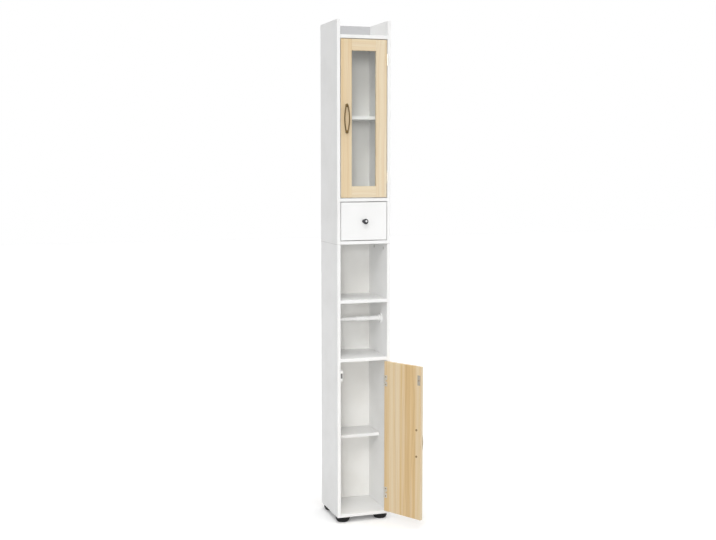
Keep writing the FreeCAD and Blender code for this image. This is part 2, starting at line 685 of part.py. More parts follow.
def build_shelves():
    """The two loose shelves and their pegs."""
    pegs = []
    for name, level, depth in (UPPER_SHELF, LOWER_SHELF):
        shelf = panel(name, f"{INNER_WIDTH} - 2 * shelf_play", depth, "board")
        place(shelf, (f"({INNER_LEFT} + shelf_play)", f"({FRONT} + {shelf_front(depth)})", level))
        keep(shelf, name)
        for spot in peg_spots(depth):
            y = f"({FRONT} + {spot})"
            z = f"({level} - peg_r)"
            pegs.append((peg, (f"({INNER_LEFT} - bolt_hold)", y, z), RIGHTWARD))
            pegs.append((peg, (f"({INNER_RIGHT} + bolt_hold)", y, z), LEFTWARD))
    keep(copies("shelf_pegs", pegs), "shelf_pegs")


def build_feet():
    """Four turned feet, each held by a screw from below."""
    head = "(foot_rise - foot_web)"
    foot = lathe("foot_pattern", (("foot_recess_r", "0"), ("foot_base_r", "0"), ("foot_r", "foot_rise / 2"),
                                  ("foot_r", "foot_rise"), (PILOT, "foot_rise"), (PILOT, f"{head} + leaf"),
                                  ("screw_head_r + fit_gap", head), ("foot_recess_r", head)))
    soften(foot, "foot_edge", ring("foot_base_r", "0"))
    spots = [(x, y) for x in ("0", "(width - 2 * foot_inset)") for y in ("0", "(depth - 2 * foot_inset)")]
    keep(copies("feet", [(foot, (x, y, "0"), UP) for x, y in spots]), "feet")
    cabinet_screws.extend((screw, (x, y, head), UP) for x, y in spots)


# Hinges, with the pin along Z through zero and the hinge centre at zero height
KNUCKLE = "(hinge_length * knuckle_share)"
FRAME_KNUCKLE = f"((hinge_length - {KNUCKLE}) / 2 - run_gap)"
HINGE_FOOT = "(-hinge_length / 2)"


def frame_leaf(name, floor, height):
    """The leaf on the side panel, with the two outer knuckles."""
    left = "(leaf_gap / 2)"
    plate = box(f"{name}_plate", (left, "pin_proud", HINGE_FOOT), "leaf", "leaf_depth", "hinge_length")
    pieces = [plate]
    bores = []
    for count, foot in enumerate((HINGE_FOOT, f"(hinge_length / 2 - {FRAME_KNUCKLE})")):
        pieces.append(box(f"{name}_neck_{count}", (left, "0", foot), "leaf", "pin_proud", FRAME_KNUCKLE))
        pieces.append(rod(f"{name}_knuckle_{count}", ("0", "0", foot), "knuckle_r", FRAME_KNUCKLE))
        bores.append(rod(f"{name}_bore_{count}", ("0", "0", foot), "hinge_pin_r", FRAME_KNUCKLE))
    seats = []
    for count, sign in enumerate("+-"):
        spot = (left, f"(pin_proud + {LEAF_SCREW_DEPTH})", f"({sign}{LEAF_SCREW_PITCH} / 2)")
        seats += seat(f"{name}_seat_{count}", spot, "leaf", RIGHTWARD)
        y = f"({PIN_Y} + pin_proud + {LEAF_SCREW_DEPTH})"
        z = f"({floor} + front_gap + {height} {sign} {LEAF_SCREW_PITCH} / 2)"
        cabinet_screws.append((screw, (f"({PIN_X} + leaf_gap / 2)", y, z), RIGHTWARD))
    item = pierced(name, joined(f"{name}_blank", pieces), bores + seats)
    place(item, (PIN_X, PIN_Y, f"({floor} + front_gap + {height})"))
    return keep(item, name)


def door_leaf(name, floor, angle, height):
    """The leaf on the door edge, wrapped on to the door back, with the middle knuckle."""
    foot = f"(-{KNUCKLE} / 2)"
    edge = box(f"{name}_edge", (DOOR_EDGE, "pin_proud", HINGE_FOOT), "leaf", "door_board", "hinge_length")
    wrap = box(f"{name}_wrap", (f"({DOOR_EDGE} - leaf_wrap)", DOOR_BACK, HINGE_FOOT),
               "leaf_wrap + leaf", "leaf", "hinge_length")
    neck = box(f"{name}_neck", (DOOR_EDGE, "0", foot), "leaf", "pin_proud", KNUCKLE)
    knuckle = rod(f"{name}_knuckle", ("0", "0", foot), "knuckle_r", KNUCKLE)
    bore = rod(f"{name}_bore", ("0", "0", foot), "hinge_pin_r + pin_gap", KNUCKLE)
    notch = box(f"{name}_notch", (f"({DOOR_EDGE} - leaf_wrap)", DOOR_BACK, "(-leaf_edge / 2)"),
                "leaf_wrap / 2", "leaf", "leaf_edge")
    seats = []
    for count, sign in enumerate("+-"):
        spot = (f"({DOOR_EDGE} - leaf_wrap + leaf_edge)", f"({DOOR_BACK} + leaf)",
                f"({sign}{LEAF_SCREW_PITCH} / 2)")
        seats += seat(f"{name}_seat_{count}", spot, "leaf", FORWARD)
    item = pierced(name, joined(f"{name}_blank", [edge, wrap, neck, knuckle]), [bore, notch] + seats)
    hang(item, floor, angle, ("0", "0", height))
    return keep(item, name)


def build_hinges():
    """Two hinges for each door and their pins."""
    pin = plain_pattern("hinge_pin_pattern", "hinge_pin_r", "hinge_length")
    pins = []
    for door, floor, bay, angle in DOORS:
        for place_name, height in zip(("bottom", "top"), hinge_heights(bay)):
            frame_leaf(f"{door}_{place_name}_frame_leaf", floor, height)
            door_leaf(f"{door}_{place_name}_door_leaf", floor, angle, height)
            pins.append((pin, (PIN_X, PIN_Y, f"({floor} + front_gap + {height} - hinge_length / 2)"), UP))
    keep(copies("hinge_pins", pins), "hinge_pins")


# Doors, measured from the hinge axis and the lower edge of the door
def handle(name, floor, bay, angle):
    """A pull of two bows whose ends run side by side into caps on posts."""
    spread = "(handle_rod_r + handle_split)"
    half = f"(handle_width / 2 - handle_rod_r - {spread})"
    sag = f"sqrt({half} ^ 2 + handle_bow ^ 2)"
    radius = f"((handle_span ^ 2 / 4 + {sag} ^ 2) / (2 * {sag}))"
    sweep = f"asin(handle_span / 2 / {radius})"
    lean = f"atan(handle_bow / {half})"
    back = f"({radius} - {sag})"
    stand = "(-handle_stand)"
    pieces = []
    about = "rotation(vector(0; 0; 1); 180)"
    for side, sign, yaw in (("right", "-1", f"rotation(vector(0; 0; 1); -{lean})"),
                            ("left", "1", f"{about} * rotation(vector(0; 0; 1); {lean})")):
        aside = f"({sign} * ({back} * {half} / {sag} - {spread}))"
        centre = (aside, f"({stand} + {back} * handle_bow / {sag})", "0")
        turn = f"{yaw} * rotation(vector(1; 0; 0); 90) * rotation(vector(0; 0; 1); -{sweep})"
        bow = solid("Torus", f"{name}_{side}_bow", centre, turn, Radius1=radius, Radius2="handle_rod_r",
                    Angle3=f"2 * {sweep}")
        bow.Angle1 = -180
        bow.Angle2 = 180
        pieces.append(bow)
    holes = []
    for count, sign in enumerate("+-"):
        foot = ("0", "0", f"({sign}handle_span / 2)")
        pieces.append(rod(f"{name}_post_{count}", foot, "handle_post_r", "handle_stand", FORWARD))
        tip = ("0", stand, f"({sign}(handle_span / 2 - handle_post_r / 2))")
        pieces.append(solid("Ellipsoid", f"{name}_cap_{count}", tip, FORWARD, Radius1="handle_rod_r * 3 / 2",
                            Radius2=f"{spread} + handle_post_r", Radius3="2 * handle_post_r"))
        holes.append(rod(f"{name}_hole_{count}", foot, "stud_r + fit_gap", "stud_bite + run_gap", FORWARD))
    item = pierced(name, joined(f"{name}_blank", pieces), holes)
    hang(item, floor, angle, (HANDLE_X, "pin_proud", f"(({bay} - 2 * front_gap) / 2)"))
    return keep(item, name)


def strike_plate(name, floor, bay, angle):
    """The steel plate on the door back that the catch holds."""
    plate = panel(name, "strike_width", "strike", "strike_height", "strike / 4")
    sink(plate, ("strike_width / 2", "strike", "strike_height / 2"), FORWARD)
    drill(plate, "XZ_Plane", "0", [("strike_width / 2", "strike_height / 2")], PILOT, "strike")
    middle = f"({bay} - 2 * front_gap - catch_drop - strike_height / 2)"
    hang(plate, floor, angle, (f"({STRIKE_X} - strike_width / 2)", DOOR_BACK, middle))
    return keep(plate, name)


def door_fixings(name, floor, bay, angle):
    """The screws of a door: hinge leaves, strike plate and handle."""
    length = f"({bay} - 2 * front_gap)"
    spots = []
    for height in hinge_heights(bay):
        for sign in "+-":
            spot = (f"({DOOR_EDGE} - leaf_wrap + leaf_edge)", f"({DOOR_BACK} + leaf)",
                    f"({height} {sign} {LEAF_SCREW_PITCH} / 2)")
            spots.append((screw, spot, FORWARD))
    spots.append((screw, (STRIKE_X, f"({DOOR_BACK} + strike)", f"({length} - catch_drop)"), FORWARD))
    for sign in "+-":
        spot = (HANDLE_X, f"({DOOR_BACK} + stud_head)", f"({length} / 2 {sign} handle_span / 2)")
        spots.append((stud, spot, FORWARD))
    group = copies(name, spots)
    hang(group, floor, angle)
    return keep(group, name)


def screw_holes(body, left, bay, leaves=True, plate=True):
    """The holes of a door's screws in a board whose left edge is at a spot from the hinge axis."""
    length = f"({bay} - 2 * front_gap)"
    pilots = []
    if leaves:
        x = f"({DOOR_EDGE} - leaf_wrap + leaf_edge - {left})"
        pilots += [(x, f"({height} {sign} {LEAF_SCREW_PITCH} / 2)")
                   for height in hinge_heights(bay) for sign in "+-"]
    if plate:
        pilots.append((f"({STRIKE_X} - {left})", f"({length} - catch_drop)"))
        studs = [(f"({HANDLE_X} - {left})", f"({length} / 2 {sign} handle_span / 2)") for sign in "+-"]
        drill(body, "XZ_Plane", "-door_board", studs, "stud_r + fit_gap", "door_board", True)
    drill(body, "XZ_Plane", "-door_board", pilots, PILOT, "screw_length", True)


def glazed_door(floor, bay, angle):
    """Stiles, tenoned rails, glass and beads of the upper door."""
    length = f"({bay} - 2 * front_gap)"
    opening = f"({DOOR_WIDTH} - 2 * stile)"
    rebate_depth = "door_board - front_lip"
    tenon_front = "door_board * tenon_set_share"
    tenon_thick = "door_board * tenon_share"
    tenon_rise = "stile / 4"
    tenon_height = "stile / 2"
    rails = (("bottom", "0"), ("top", f"({length} - stile)"))
    for side, left in (("left", DOOR_FREE), ("right", f"({DOOR_EDGE} - stile)")):
        member = panel(f"{side}_stile", "stile", "door_board", length)
        inner = "stile - rebate" if side == "left" else "0"
        carve(member, "rebate", (inner, "front_lip", "stile - rebate"), "rebate", rebate_depth,
              f"{length} - 2 * (stile - rebate)")
        socket = "stile - tenon - fit_gap" if side == "left" else "0"
        for name, foot in rails:
            carve(member, f"{name}_mortise",
                  (socket, f"{tenon_front} - fit_gap", f"{foot} + {tenon_rise} - fit_gap"),
                  "tenon + fit_gap", f"{tenon_thick} + 2 * fit_gap", f"{tenon_height} + 2 * fit_gap")
        screw_holes(member, left, bay, leaves=side == "right", plate=side == "left")
        hang(member, floor, angle, (left, "pin_proud", "0"))
        keep(member, f"{side}_stile")
    for name, foot in rails:
        rail = panel(f"{name}_rail", opening, "door_board", "stile")
        inner = "stile - rebate" if name == "bottom" else "0"
        carve(rail, "rebate", ("0", "front_lip", inner), opening, rebate_depth, "rebate")
        for end, start in (("left", "-tenon"), ("right", f"{opening} - edge_ease")):
            grow(rail, f"{end}_tenon", (start, tenon_front, tenon_rise),
                 "tenon + edge_ease", tenon_thick, tenon_height)
        hang(rail, floor, angle, (f"({DOOR_FREE} + stile)", "pin_proud", foot))
        keep(rail, f"{name}_rail")
    inset = "(rebate - glass_play)"
    pane = panel("glass_pane", f"{opening} + 2 * {inset}", "glass",
                 f"{length} - 2 * stile + 2 * {inset}", "glass / 8")
    corner = (f"({DOOR_FREE} + stile - {inset})", "(pin_proud + front_lip)", f"(stile - {inset})")
    hang(pane, floor, angle, corner)
    keep(pane, "glass_pane")
    glazing_beads(floor, angle, opening, f"({length} - 2 * stile)", inset)


def glazing_beads(floor, angle, opening, clear, inset):
    """Four beads that hold the glass in its rebate."""
    y = "(pin_proud + front_lip + glass)"
    thick = "door_board - front_lip - glass"
    left = f"({DOOR_FREE} + stile - {inset})"
    upright = panel("upright_bead", inset, thick, f"{clear} + 2 * {inset}", "edge_ease")
    level = panel("level_bead", opening, thick, inset, "edge_ease")
    spots = [(upright, (left, y, f"(stile - {inset})"), UP),
             (upright, (f"({left} + {inset} + {opening})", y, f"(stile - {inset})"), UP),
             (level, (f"({left} + {inset})", y, f"(stile - {inset})"), UP),
             (level, (f"({left} + {inset})", y, f"(stile + {clear})"), UP)]
    beads = copies("glass_beads", spots)
    hang(beads, floor, angle)
    keep(beads, "glass_beads")


def build_doors():
    """Both doors with their handles, strike plates and screws."""
    for (door, floor, bay, angle), body in zip(DOORS, ("glass_door", "lower_door")):
        if door == "upper":
            glazed_door(floor, bay, angle)
        else:
            leaf = panel("lower_door_panel", DOOR_WIDTH, "door_board", f"{bay} - 2 * front_gap")
            screw_holes(leaf, DOOR_FREE, bay)
            hang(leaf, floor, angle, (DOOR_FREE, "pin_proud", "0"))
            keep(leaf, "lower_door_panel")
        handle(f"{door}_handle", floor, bay, angle)
        strike_plate(f"{door}_strike", floor, bay, angle)
        door_fixings(f"{body}_screws", floor, bay, angle)


def build_catches():
    """A magnetic catch on the left panel for each door."""
    magnets = []
    block = panel("magnet_pattern", "magnet_reach", "magnet_depth", "magnet_height", "strike / 4")
    for door, floor, bay, angle in DOORS:
        centre = f"({floor} + {bay} - front_gap - catch_drop)"
        body = panel(f"{door}_catch", "catch_reach", "catch_depth", "catch_height", "strike")
        inset = "(catch_reach - magnet_reach) / 2"
        carve(body, "nest", (f"{inset} - fit_gap", "0", "(catch_height - magnet_height) / 2 - fit_gap"),
              "magnet_reach + 2 * fit_gap", "magnet_depth", "magnet_height + 2 * fit_gap")
        spots = [("catch_depth / 2", f"(catch_height {sign} catch_screw_pitch) / 2") for sign in "+-"]
        drill(body, "YZ_Plane", "0", spots, PILOT, "catch_reach", True)
        drill(body, "YZ_Plane", "catch_reach", spots, "screw_head_r + run_gap", "catch_reach - catch_web")
        for y, z in spots:
            sink(body, ("catch_web", y, z), LEFTWARD)
        corner_y = f"({FRONT} + {CATCH_FRONT})"
        place(body, (INNER_LEFT, corner_y, f"({centre} - catch_height / 2)"))
        keep(body, f"{door}_catch")
        corner = (f"({INNER_LEFT} + {inset})", corner_y, f"({centre} - magnet_height / 2)")
        magnets.append((block, corner, UP))
        for sign in "+-":
            spot = (f"({INNER_LEFT} + catch_web)", f"({corner_y} + catch_depth / 2)",
                    f"({centre} {sign} catch_screw_pitch / 2)")
            cabinet_screws.append((screw, spot, LEFTWARD))
    keep(copies("catch_magnets", magnets), "catch_magnets")


# The roll holder, turned about its own Z and laid along X
def build_roll_holder():
    """Two sockets, the tube, the plunger in it and the spring behind the plunger."""
    recess = "(pintle_length + run_gap)"
    for hand, face, inward in (("left", INNER_LEFT, RIGHTWARD), ("right", INNER_RIGHT, LEFTWARD)):
        socket = lathe(f"{hand}_socket", (("0", "0"), ("socket_r", "0"), ("socket_r", "socket_base"),
                                          ("hub_r", "socket_base"), ("hub_r", "hub_reach"),
                                          ("pintle_r + run_gap", "hub_reach"),
                                          ("pintle_r + run_gap", f"hub_reach - {recess}"),
                                          ("0", f"hub_reach - {recess}")))
        soften(socket, "socket_edge", ring("socket_r", "socket_base"))
        soften(socket, "socket_edge", ring("hub_r", "hub_reach"))
        spots = [(f"({sign} * socket_screw_pitch / 2)", "0") for sign in ("1", "-1")]
        drill(socket, "XY_Plane", "0", spots, PILOT, "socket_base", True)
        for spot in spots:
            sink(socket, spot + ("socket_base",), DOWN)
        place(socket, (face, ROD_Y, ROD_Z), inward)
        keep(socket, f"{hand}_socket")
        outward = LEFTWARD if hand == "left" else RIGHTWARD
        head_x = f"({face} + socket_base)" if hand == "left" else f"({face} - socket_base)"
        cabinet_screws.extend((screw, (head_x, ROD_Y, f"({ROD_Z} {sign} socket_screw_pitch / 2)"), outward)
                              for sign in "+-")
    start = f"({INNER_RIGHT} - hub_reach - run_gap)"
    tube = lathe("roll_tube", (("0", "0"), ("pintle_r", "0"), ("pintle_r", "pintle_length"),
                               ("rod_r", "pintle_length"), ("rod_r", f"pintle_length + {TUBE_LENGTH}"),
                               (BORE_R, f"pintle_length + {TUBE_LENGTH}"),
                               (BORE_R, "pintle_length + rod_wall"),
                               ("0", "pintle_length + rod_wall")))
    soften(tube, "edge_ease", ring("rod_r", f"pintle_length + {TUBE_LENGTH}"))
    place(tube, (f"({start} + pintle_length)", ROD_Y, ROD_Z), LEFTWARD)
    keep(tube, "roll_tube")
    plunger = lathe("roll_plunger_rod", (("0", "0"), ("pintle_r", "0"), ("pintle_r", "pintle_length"),
                                         (PLUNGER_R, "pintle_length"),
                                         (PLUNGER_R, f"pintle_length + {PLUNGER_LENGTH}"),
                                         ("0", f"pintle_length + {PLUNGER_LENGTH}")))
    soften(plunger, "edge_ease", ring(PLUNGER_R, "pintle_length"))
    place(plunger, (f"({INNER_LEFT} + hub_reach + run_gap - pintle_length)", ROD_Y, ROD_Z), RIGHTWARD)
    keep(plunger, "roll_plunger_rod")
    coil = lathe("roll_spring", ((f"{PLUNGER_R} - 2 * spring_wall", "0"), (f"{PLUNGER_R} - spring_wall", "0"),
                                 (f"{PLUNGER_R} - spring_wall", SPRING_LENGTH),
                                 (f"{PLUNGER_R} - 2 * spring_wall", SPRING_LENGTH)))
    place(coil, (f"({start} - rod_wall)", ROD_Y, ROD_Z), LEFTWARD)
    keep(coil, "roll_spring")


# The drawer
def build_drawer():
    """Front, grooved sides, back, bottom, knob, dowels and screws."""
    front = panel("drawer_front", FRONT_WIDTH, "door_board", FRONT_HEIGHT)
    place(front, (f"({INNER_LEFT} + front_gap)", FRONT, f"({DRAWER_FLOOR} + front_gap)"))
    middle = (f"{FRONT_WIDTH} / 2", f"{FRONT_HEIGHT} / 2")
    drill(front, "XZ_Plane", "0", [middle], "stud_r + fit_gap", "door_board")
    dowel_heights = [f"(drawer_side_height * {share})" for share in ("1 / 4", "3 / 4")]
    side_middles = (f"({BOX_LEFT} + drawer_side / 2)", f"({BOX_LEFT} + {BOX_WIDTH} - drawer_side / 2)")
    lift = f"({BOX_FLOOR} - {DRAWER_FLOOR} - front_gap)"
    spots = [(f"({x} - {INNER_LEFT} - front_gap)", f"({z} + {lift})")
             for x in side_middles for z in dowel_heights]
    drill(front, "XZ_Plane", "-door_board", spots, "dowel_r + fit_gap", "bolt_hold + fit_gap", True)
    keep(front, "drawer_front")
    back_y = "drawer_length - drawer_side"
    screw_spots = [(f"({back_y} + drawer_side / 2)", z) for z in dowel_heights]
    screws = [(stud, (MIDDLE_X, f"({BOX_FRONT} + stud_head)", f"({DRAWER_FLOOR} + drawer_bay / 2)"), FORWARD)]
    drawer_dowels = []
    right_left = f"({BOX_LEFT} + {BOX_WIDTH} - drawer_side)"
    for side, left, outer, along, inward in (("left", BOX_LEFT, "0", True, RIGHTWARD),
                                             ("right", right_left, "drawer_side", False, LEFTWARD)):
        wall = panel(f"drawer_{side}", "drawer_side", "drawer_length", "drawer_side_height")
        groove_x = "drawer_side - groove" if side == "left" else "0"
        carve(wall, "groove", (groove_x, "0", "groove_lift"), "groove", "drawer_length",
              "back_board + 2 * fit_gap")
        drill(wall, "YZ_Plane", outer, screw_spots, PILOT, "drawer_side", along)
        for y, z in screw_spots:
            sink(wall, (outer, y, z), inward)
            spot = (f"({left} + {outer})", f"({BOX_FRONT} + {y})", f"({BOX_FLOOR} + {z})")
            screws.append((screw, spot, inward))
        drill(wall, "XZ_Plane", "0", [("drawer_side / 2", z) for z in dowel_heights], "dowel_r + fit_gap",
              "dowel_end + fit_gap")
        for z in dowel_heights:
            spot = (f"({left} + drawer_side / 2)", f"({BOX_FRONT} - bolt_hold)", f"({BOX_FLOOR} + {z})")
            drawer_dowels.append((dowel, spot, BACKWARD))
        place(wall, (left, BOX_FRONT, BOX_FLOOR))
        keep(wall, f"drawer_{side}")
    floor_top = "(groove_lift + back_board + 2 * fit_gap)"
    inner = f"({BOX_WIDTH} - 2 * drawer_side)"
    back = panel("drawer_back", inner, "drawer_side", f"drawer_side_height - {floor_top}")
    ends = [("drawer_side / 2", f"({z} - {floor_top})") for z in dowel_heights]
    for offset, along in (("0", True), (inner, False)):
        drill(back, "YZ_Plane", offset, ends, PILOT, "screw_length", along)
    place(back, (f"({BOX_LEFT} + drawer_side)", f"({BOX_FRONT} + {back_y})", f"({BOX_FLOOR} + {floor_top})"))
    keep(back, "drawer_back")
    bottom = panel("drawer_bottom", f"{inner} + 2 * groove - 2 * fit_gap", "drawer_length", "back_board",
                   "edge_ease / 2")
    place(bottom, (f"({BOX_LEFT} + drawer_side - groove + fit_gap)", BOX_FRONT,
                   f"({BOX_FLOOR} + groove_lift + fit_gap)"))
    keep(bottom, "drawer_bottom")
    keep(copies("drawer_screws", screws), "drawer_screws")
    keep(copies("drawer_dowels", drawer_dowels), "drawer_dowels")
    build_knob()


def build_knob():
    """The turned knob on the drawer front."""
    neck = "(knob_reach - knob_head)"
    knob = lathe("knob", (("stud_r + fit_gap", "0"), ("knob_foot_r", "0"), ("knob_foot_r", "knob_foot"),
                          ("knob_neck_r", "knob_foot"), ("knob_neck_r", neck), ("knob_r", neck),
                          ("knob_r", "knob_reach"), ("0", "knob_reach"), ("0", "stud_bite + run_gap"),
                          ("stud_r + fit_gap", "stud_bite + run_gap")))
    soften(knob, "knob_edge", lambda edge: ring("knob_r", "knob_reach")(edge) or ring("knob_r", neck)(edge))
    place(knob, (MIDDLE_X, FRONT, f"({DRAWER_FLOOR} + drawer_bay / 2)"), FORWARD)
    keep(knob, "knob")


build_sides()
seam_fasteners()
build_boards()
gallery_rail()
build_backs()
build_shelves()
build_feet()
build_hinges()
build_doors()
build_catches()
build_roll_holder()
build_drawer()
for group_name, group_spots in (("cam_nuts", cam_nuts), ("cam_bolts", cam_bolts), ("dowels", dowels),
                                ("back_nails", back_nails), ("cabinet_screws", cabinet_screws)):
    keep(copies(group_name, group_spots), group_name)
doc.recompute()

# Check and write
for item in doc.Objects:
    if "Invalid" in item.State or "Error" in item.State:
        raise RuntimeError(f"{item.Label}: {item.State}")
os.makedirs("parts", exist_ok=True)
for item in nodes:
    if item.Shape.isNull() or not item.Shape.isValid() or not item.Shape.Solids:
        raise RuntimeError(f"{item.Label}: no valid solid")
    item.Shape.exportStep(f"parts/{item.Label}.step")
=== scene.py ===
"""Finishes, studio and camera for a tall bathroom cabinet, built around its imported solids."""

import json
import math

import bpy
from mathutils import Matrix, Vector

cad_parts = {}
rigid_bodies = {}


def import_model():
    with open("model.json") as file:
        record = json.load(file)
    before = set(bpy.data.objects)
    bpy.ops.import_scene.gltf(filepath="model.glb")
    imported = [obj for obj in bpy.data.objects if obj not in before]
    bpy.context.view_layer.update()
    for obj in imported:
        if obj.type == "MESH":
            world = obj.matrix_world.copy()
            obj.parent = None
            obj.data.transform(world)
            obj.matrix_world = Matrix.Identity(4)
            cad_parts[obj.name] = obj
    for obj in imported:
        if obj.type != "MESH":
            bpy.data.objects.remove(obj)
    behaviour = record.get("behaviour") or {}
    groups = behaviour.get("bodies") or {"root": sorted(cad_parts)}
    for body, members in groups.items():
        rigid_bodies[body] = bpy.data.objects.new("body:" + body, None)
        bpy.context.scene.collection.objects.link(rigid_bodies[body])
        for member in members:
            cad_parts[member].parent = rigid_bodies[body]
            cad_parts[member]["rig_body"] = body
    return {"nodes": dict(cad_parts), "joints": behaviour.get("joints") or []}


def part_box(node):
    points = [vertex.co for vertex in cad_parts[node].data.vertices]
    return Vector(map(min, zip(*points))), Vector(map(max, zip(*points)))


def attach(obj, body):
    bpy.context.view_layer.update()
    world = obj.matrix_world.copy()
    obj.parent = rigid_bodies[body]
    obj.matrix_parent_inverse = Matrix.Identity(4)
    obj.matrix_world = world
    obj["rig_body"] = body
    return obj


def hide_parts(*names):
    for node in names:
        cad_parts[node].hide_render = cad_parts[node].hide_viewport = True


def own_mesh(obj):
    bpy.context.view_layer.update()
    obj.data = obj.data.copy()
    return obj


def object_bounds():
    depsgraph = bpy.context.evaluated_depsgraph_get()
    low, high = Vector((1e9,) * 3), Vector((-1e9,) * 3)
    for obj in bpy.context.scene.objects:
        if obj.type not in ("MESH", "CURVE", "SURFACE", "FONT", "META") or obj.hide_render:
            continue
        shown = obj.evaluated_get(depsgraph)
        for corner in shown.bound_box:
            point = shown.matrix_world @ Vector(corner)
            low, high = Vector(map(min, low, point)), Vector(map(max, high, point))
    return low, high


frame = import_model()
solid_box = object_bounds()
solids = frame["nodes"]
joints = {joint["name"]: joint for joint in frame["joints"]}

AXES = ("x", "y", "z")
MATRIX_SIZE = len(AXES) + 1
MM = 0.001
FULL = 1.0
LEVEL = 90.0


# Shader trees

class Wire:
    """A value on its way through a shader tree. Arithmetic on it adds nodes."""

    def __init__(self, tree, socket):
        self.tree = tree
        self.socket = socket

    def maths(self, operation, *values):
        """Numbers meet in a Math node, vectors in a Vector Math node."""
        vector = any(is_vector(value) for value in values)
        kind = "ShaderNodeVectorMath" if vector else "ShaderNodeMath"
        return self.tree.node(kind, {"operation": operation}, dict(enumerate(values)))

    def __add__(self, other):
        return self.maths("ADD", self, other)

    def __radd__(self, other):
        return self.maths("ADD", other, self)

    def __sub__(self, other):
        return self.maths("SUBTRACT", self, other)

    def __rsub__(self, other):
        return self.maths("SUBTRACT", other, self)

    def __mul__(self, other):
        return self.maths("MULTIPLY", self, other)

    def __rmul__(self, other):
        return self.maths("MULTIPLY", other, self)

    def __truediv__(self, other):
        return self.maths("DIVIDE", self, other)

    def __pow__(self, other):
        return self.maths("POWER", self, other)

    def least(self, other):
        return self.maths("MINIMUM", self, other)

    def most(self, other):
        return self.maths("MAXIMUM", self, other)

    def root(self):
        return self.maths("SQRT", self)

    def whole(self):
        return self.maths("FLOOR", self)

    def rest(self):
        """What is left over the whole number below."""
        return self.maths("FRACT", self)

    def wave(self):
        return self.maths("SINE", self)

    def over(self, limit):
        return self.maths("GREATER_THAN", self, limit)

    def rise(self, start, end):
        """0 at start and before, 1 at end and after, smooth between them."""
        return self.tree.node("ShaderNodeMapRange", {"interpolation_type": "SMOOTHSTEP"},
                              {"Value": self, "From Min": start, "From Max": end})

    def parts(self):
        """The three numbers of a vector."""
        return [self.tree.node("ShaderNodeSeparateXYZ", {}, {0: self}, axis) for axis in range(len(AXES))]


def is_vector(value):
    if isinstance(value, Wire):
        return value.socket.type == "VECTOR"
    return isinstance(value, (tuple, Vector))


class Tree:
    """A shader tree that is written down as it is read."""

    def __init__(self, owner):
        owner.use_nodes = True
        self.nodes = owner.node_tree.nodes
        self.links = owner.node_tree.links
        self.nodes.clear()

    def node(self, kind, settings, sockets, output=0):
        """A node of that kind with its settings, then its sockets; gives back one of its outputs."""
        made = self.nodes.new(kind)
        for name, value in settings.items():
            setattr(made, name, value)
        for name, value in sockets.items():
            self.feed(made.inputs[name], value)
        return Wire(self, made.outputs[output])

    def feed(self, socket, value):
        if isinstance(value, Wire):
            self.links.new(value.socket, socket)
        elif socket.type == "RGBA":
            socket.default_value = (*value, FULL)
        else:
            socket.default_value = value

    def vector(self, *numbers):
        return self.node("ShaderNodeCombineXYZ", {}, dict(enumerate(numbers)))

    def noise(self, place, scale=1.0, detail=3.0, roughness=0.5):
        """Soft random values about one half, with about scale swells to the metre."""
        return self.node("ShaderNodeTexNoise", {},
                         {"Vector": place, "Scale": scale, "Detail": detail, "Roughness": roughness})

    def chance(self, number):
        """A fixed random number between 0 and 1 for each whole number."""
        return self.node("ShaderNodeTexWhiteNoise", {"noise_dimensions": "1D"}, {"W": number})

    def steps(self, position, levels):
        """One level after another, each over an equal stretch of positions from 0 to 1."""
        level = levels[0]
        for count in range(1, len(levels)):
            level = level + position.over(count / len(levels)) * (levels[count] - levels[count - 1])
        return level

    def blend(self, share, first, second):
        """A colour that goes from the first to the second as share goes from 0 to 1."""
        colour_a, colour_b, colour_out = 6, 7, 2
        return self.node("ShaderNodeMix", {"data_type": "RGBA"},
                         {0: share, colour_a: first, colour_b: second}, colour_out)

    def bump(self, relief, strength, depth=1.0):
        """The normal of a surface with that relief, in metres or in shares of a depth."""
        return self.node("ShaderNodeBump", {}, {"Height": relief, "Distance": depth, "Strength": strength})


class Finish(Tree):
    """A material for one piece, read in the piece's own place in the frame."""

    def __init__(self, piece, name):
        self.material = bpy.data.materials.new(f"{piece}_{name}")
        super().__init__(self.material)
        self.place = self.node("ShaderNodeTexCoord", {}, {}, "Object")

    def facing(self, direction):
        """1 where the surface looks along a direction of the piece, -1 where it looks away."""
        normal = self.node("ShaderNodeTexCoord", {}, {}, "Normal")
        return self.node("ShaderNodeVectorMath", {"operation": "DOT_PRODUCT"},
                         {0: normal, 1: direction}, "Value")

    def close(self, turn):
        """Reads the piece where it stands after a turn, such as a door that is closed."""
        self.place = self.node("ShaderNodeMapping", {}, {
            "Vector": self.place, "Location": turn.to_translation(), "Rotation": turn.to_euler()})

    def principled(self, **sockets):
        """The usual shader, its sockets written in lower case with underscores."""
        names = {name.replace("_", " ").title().replace("Ior", "IOR"): value
                 for name, value in sockets.items()}
        return self.node("ShaderNodeBsdfPrincipled", {}, names)

    def end(self, shader):
        out = self.nodes.new("ShaderNodeOutputMaterial")
        self.links.new(shader.socket, out.inputs["Surface"])
        return self.material

    def surface(self, **sockets):
        return self.end(self.principled(**sockets))


def rays(tree, *kinds):
    """1 for rays of these kinds, 0 for all others."""
    found = [tree.node("ShaderNodeLightPath", {}, {}, kind) for kind in kinds]
    total = found[0]
    for other in found[1:]:
        total = total.most(other)
    return total


# Places on the pieces

WEAR_DETAIL = 4.0
WEAR_PATCH_RANGE = (0.42, 0.62)


def turn_shut(joint):
    """The turn that brings a hinged piece from its place at rest to its lowest limit."""
    pivot = Vector(joint["pos_m"])
    angle = math.radians(joint["range_deg"][0])
    swing = Matrix.Rotation(angle, MATRIX_SIZE, Vector(joint["axis"]))
    return Matrix.Translation(pivot) @ swing @ Matrix.Translation(-pivot)


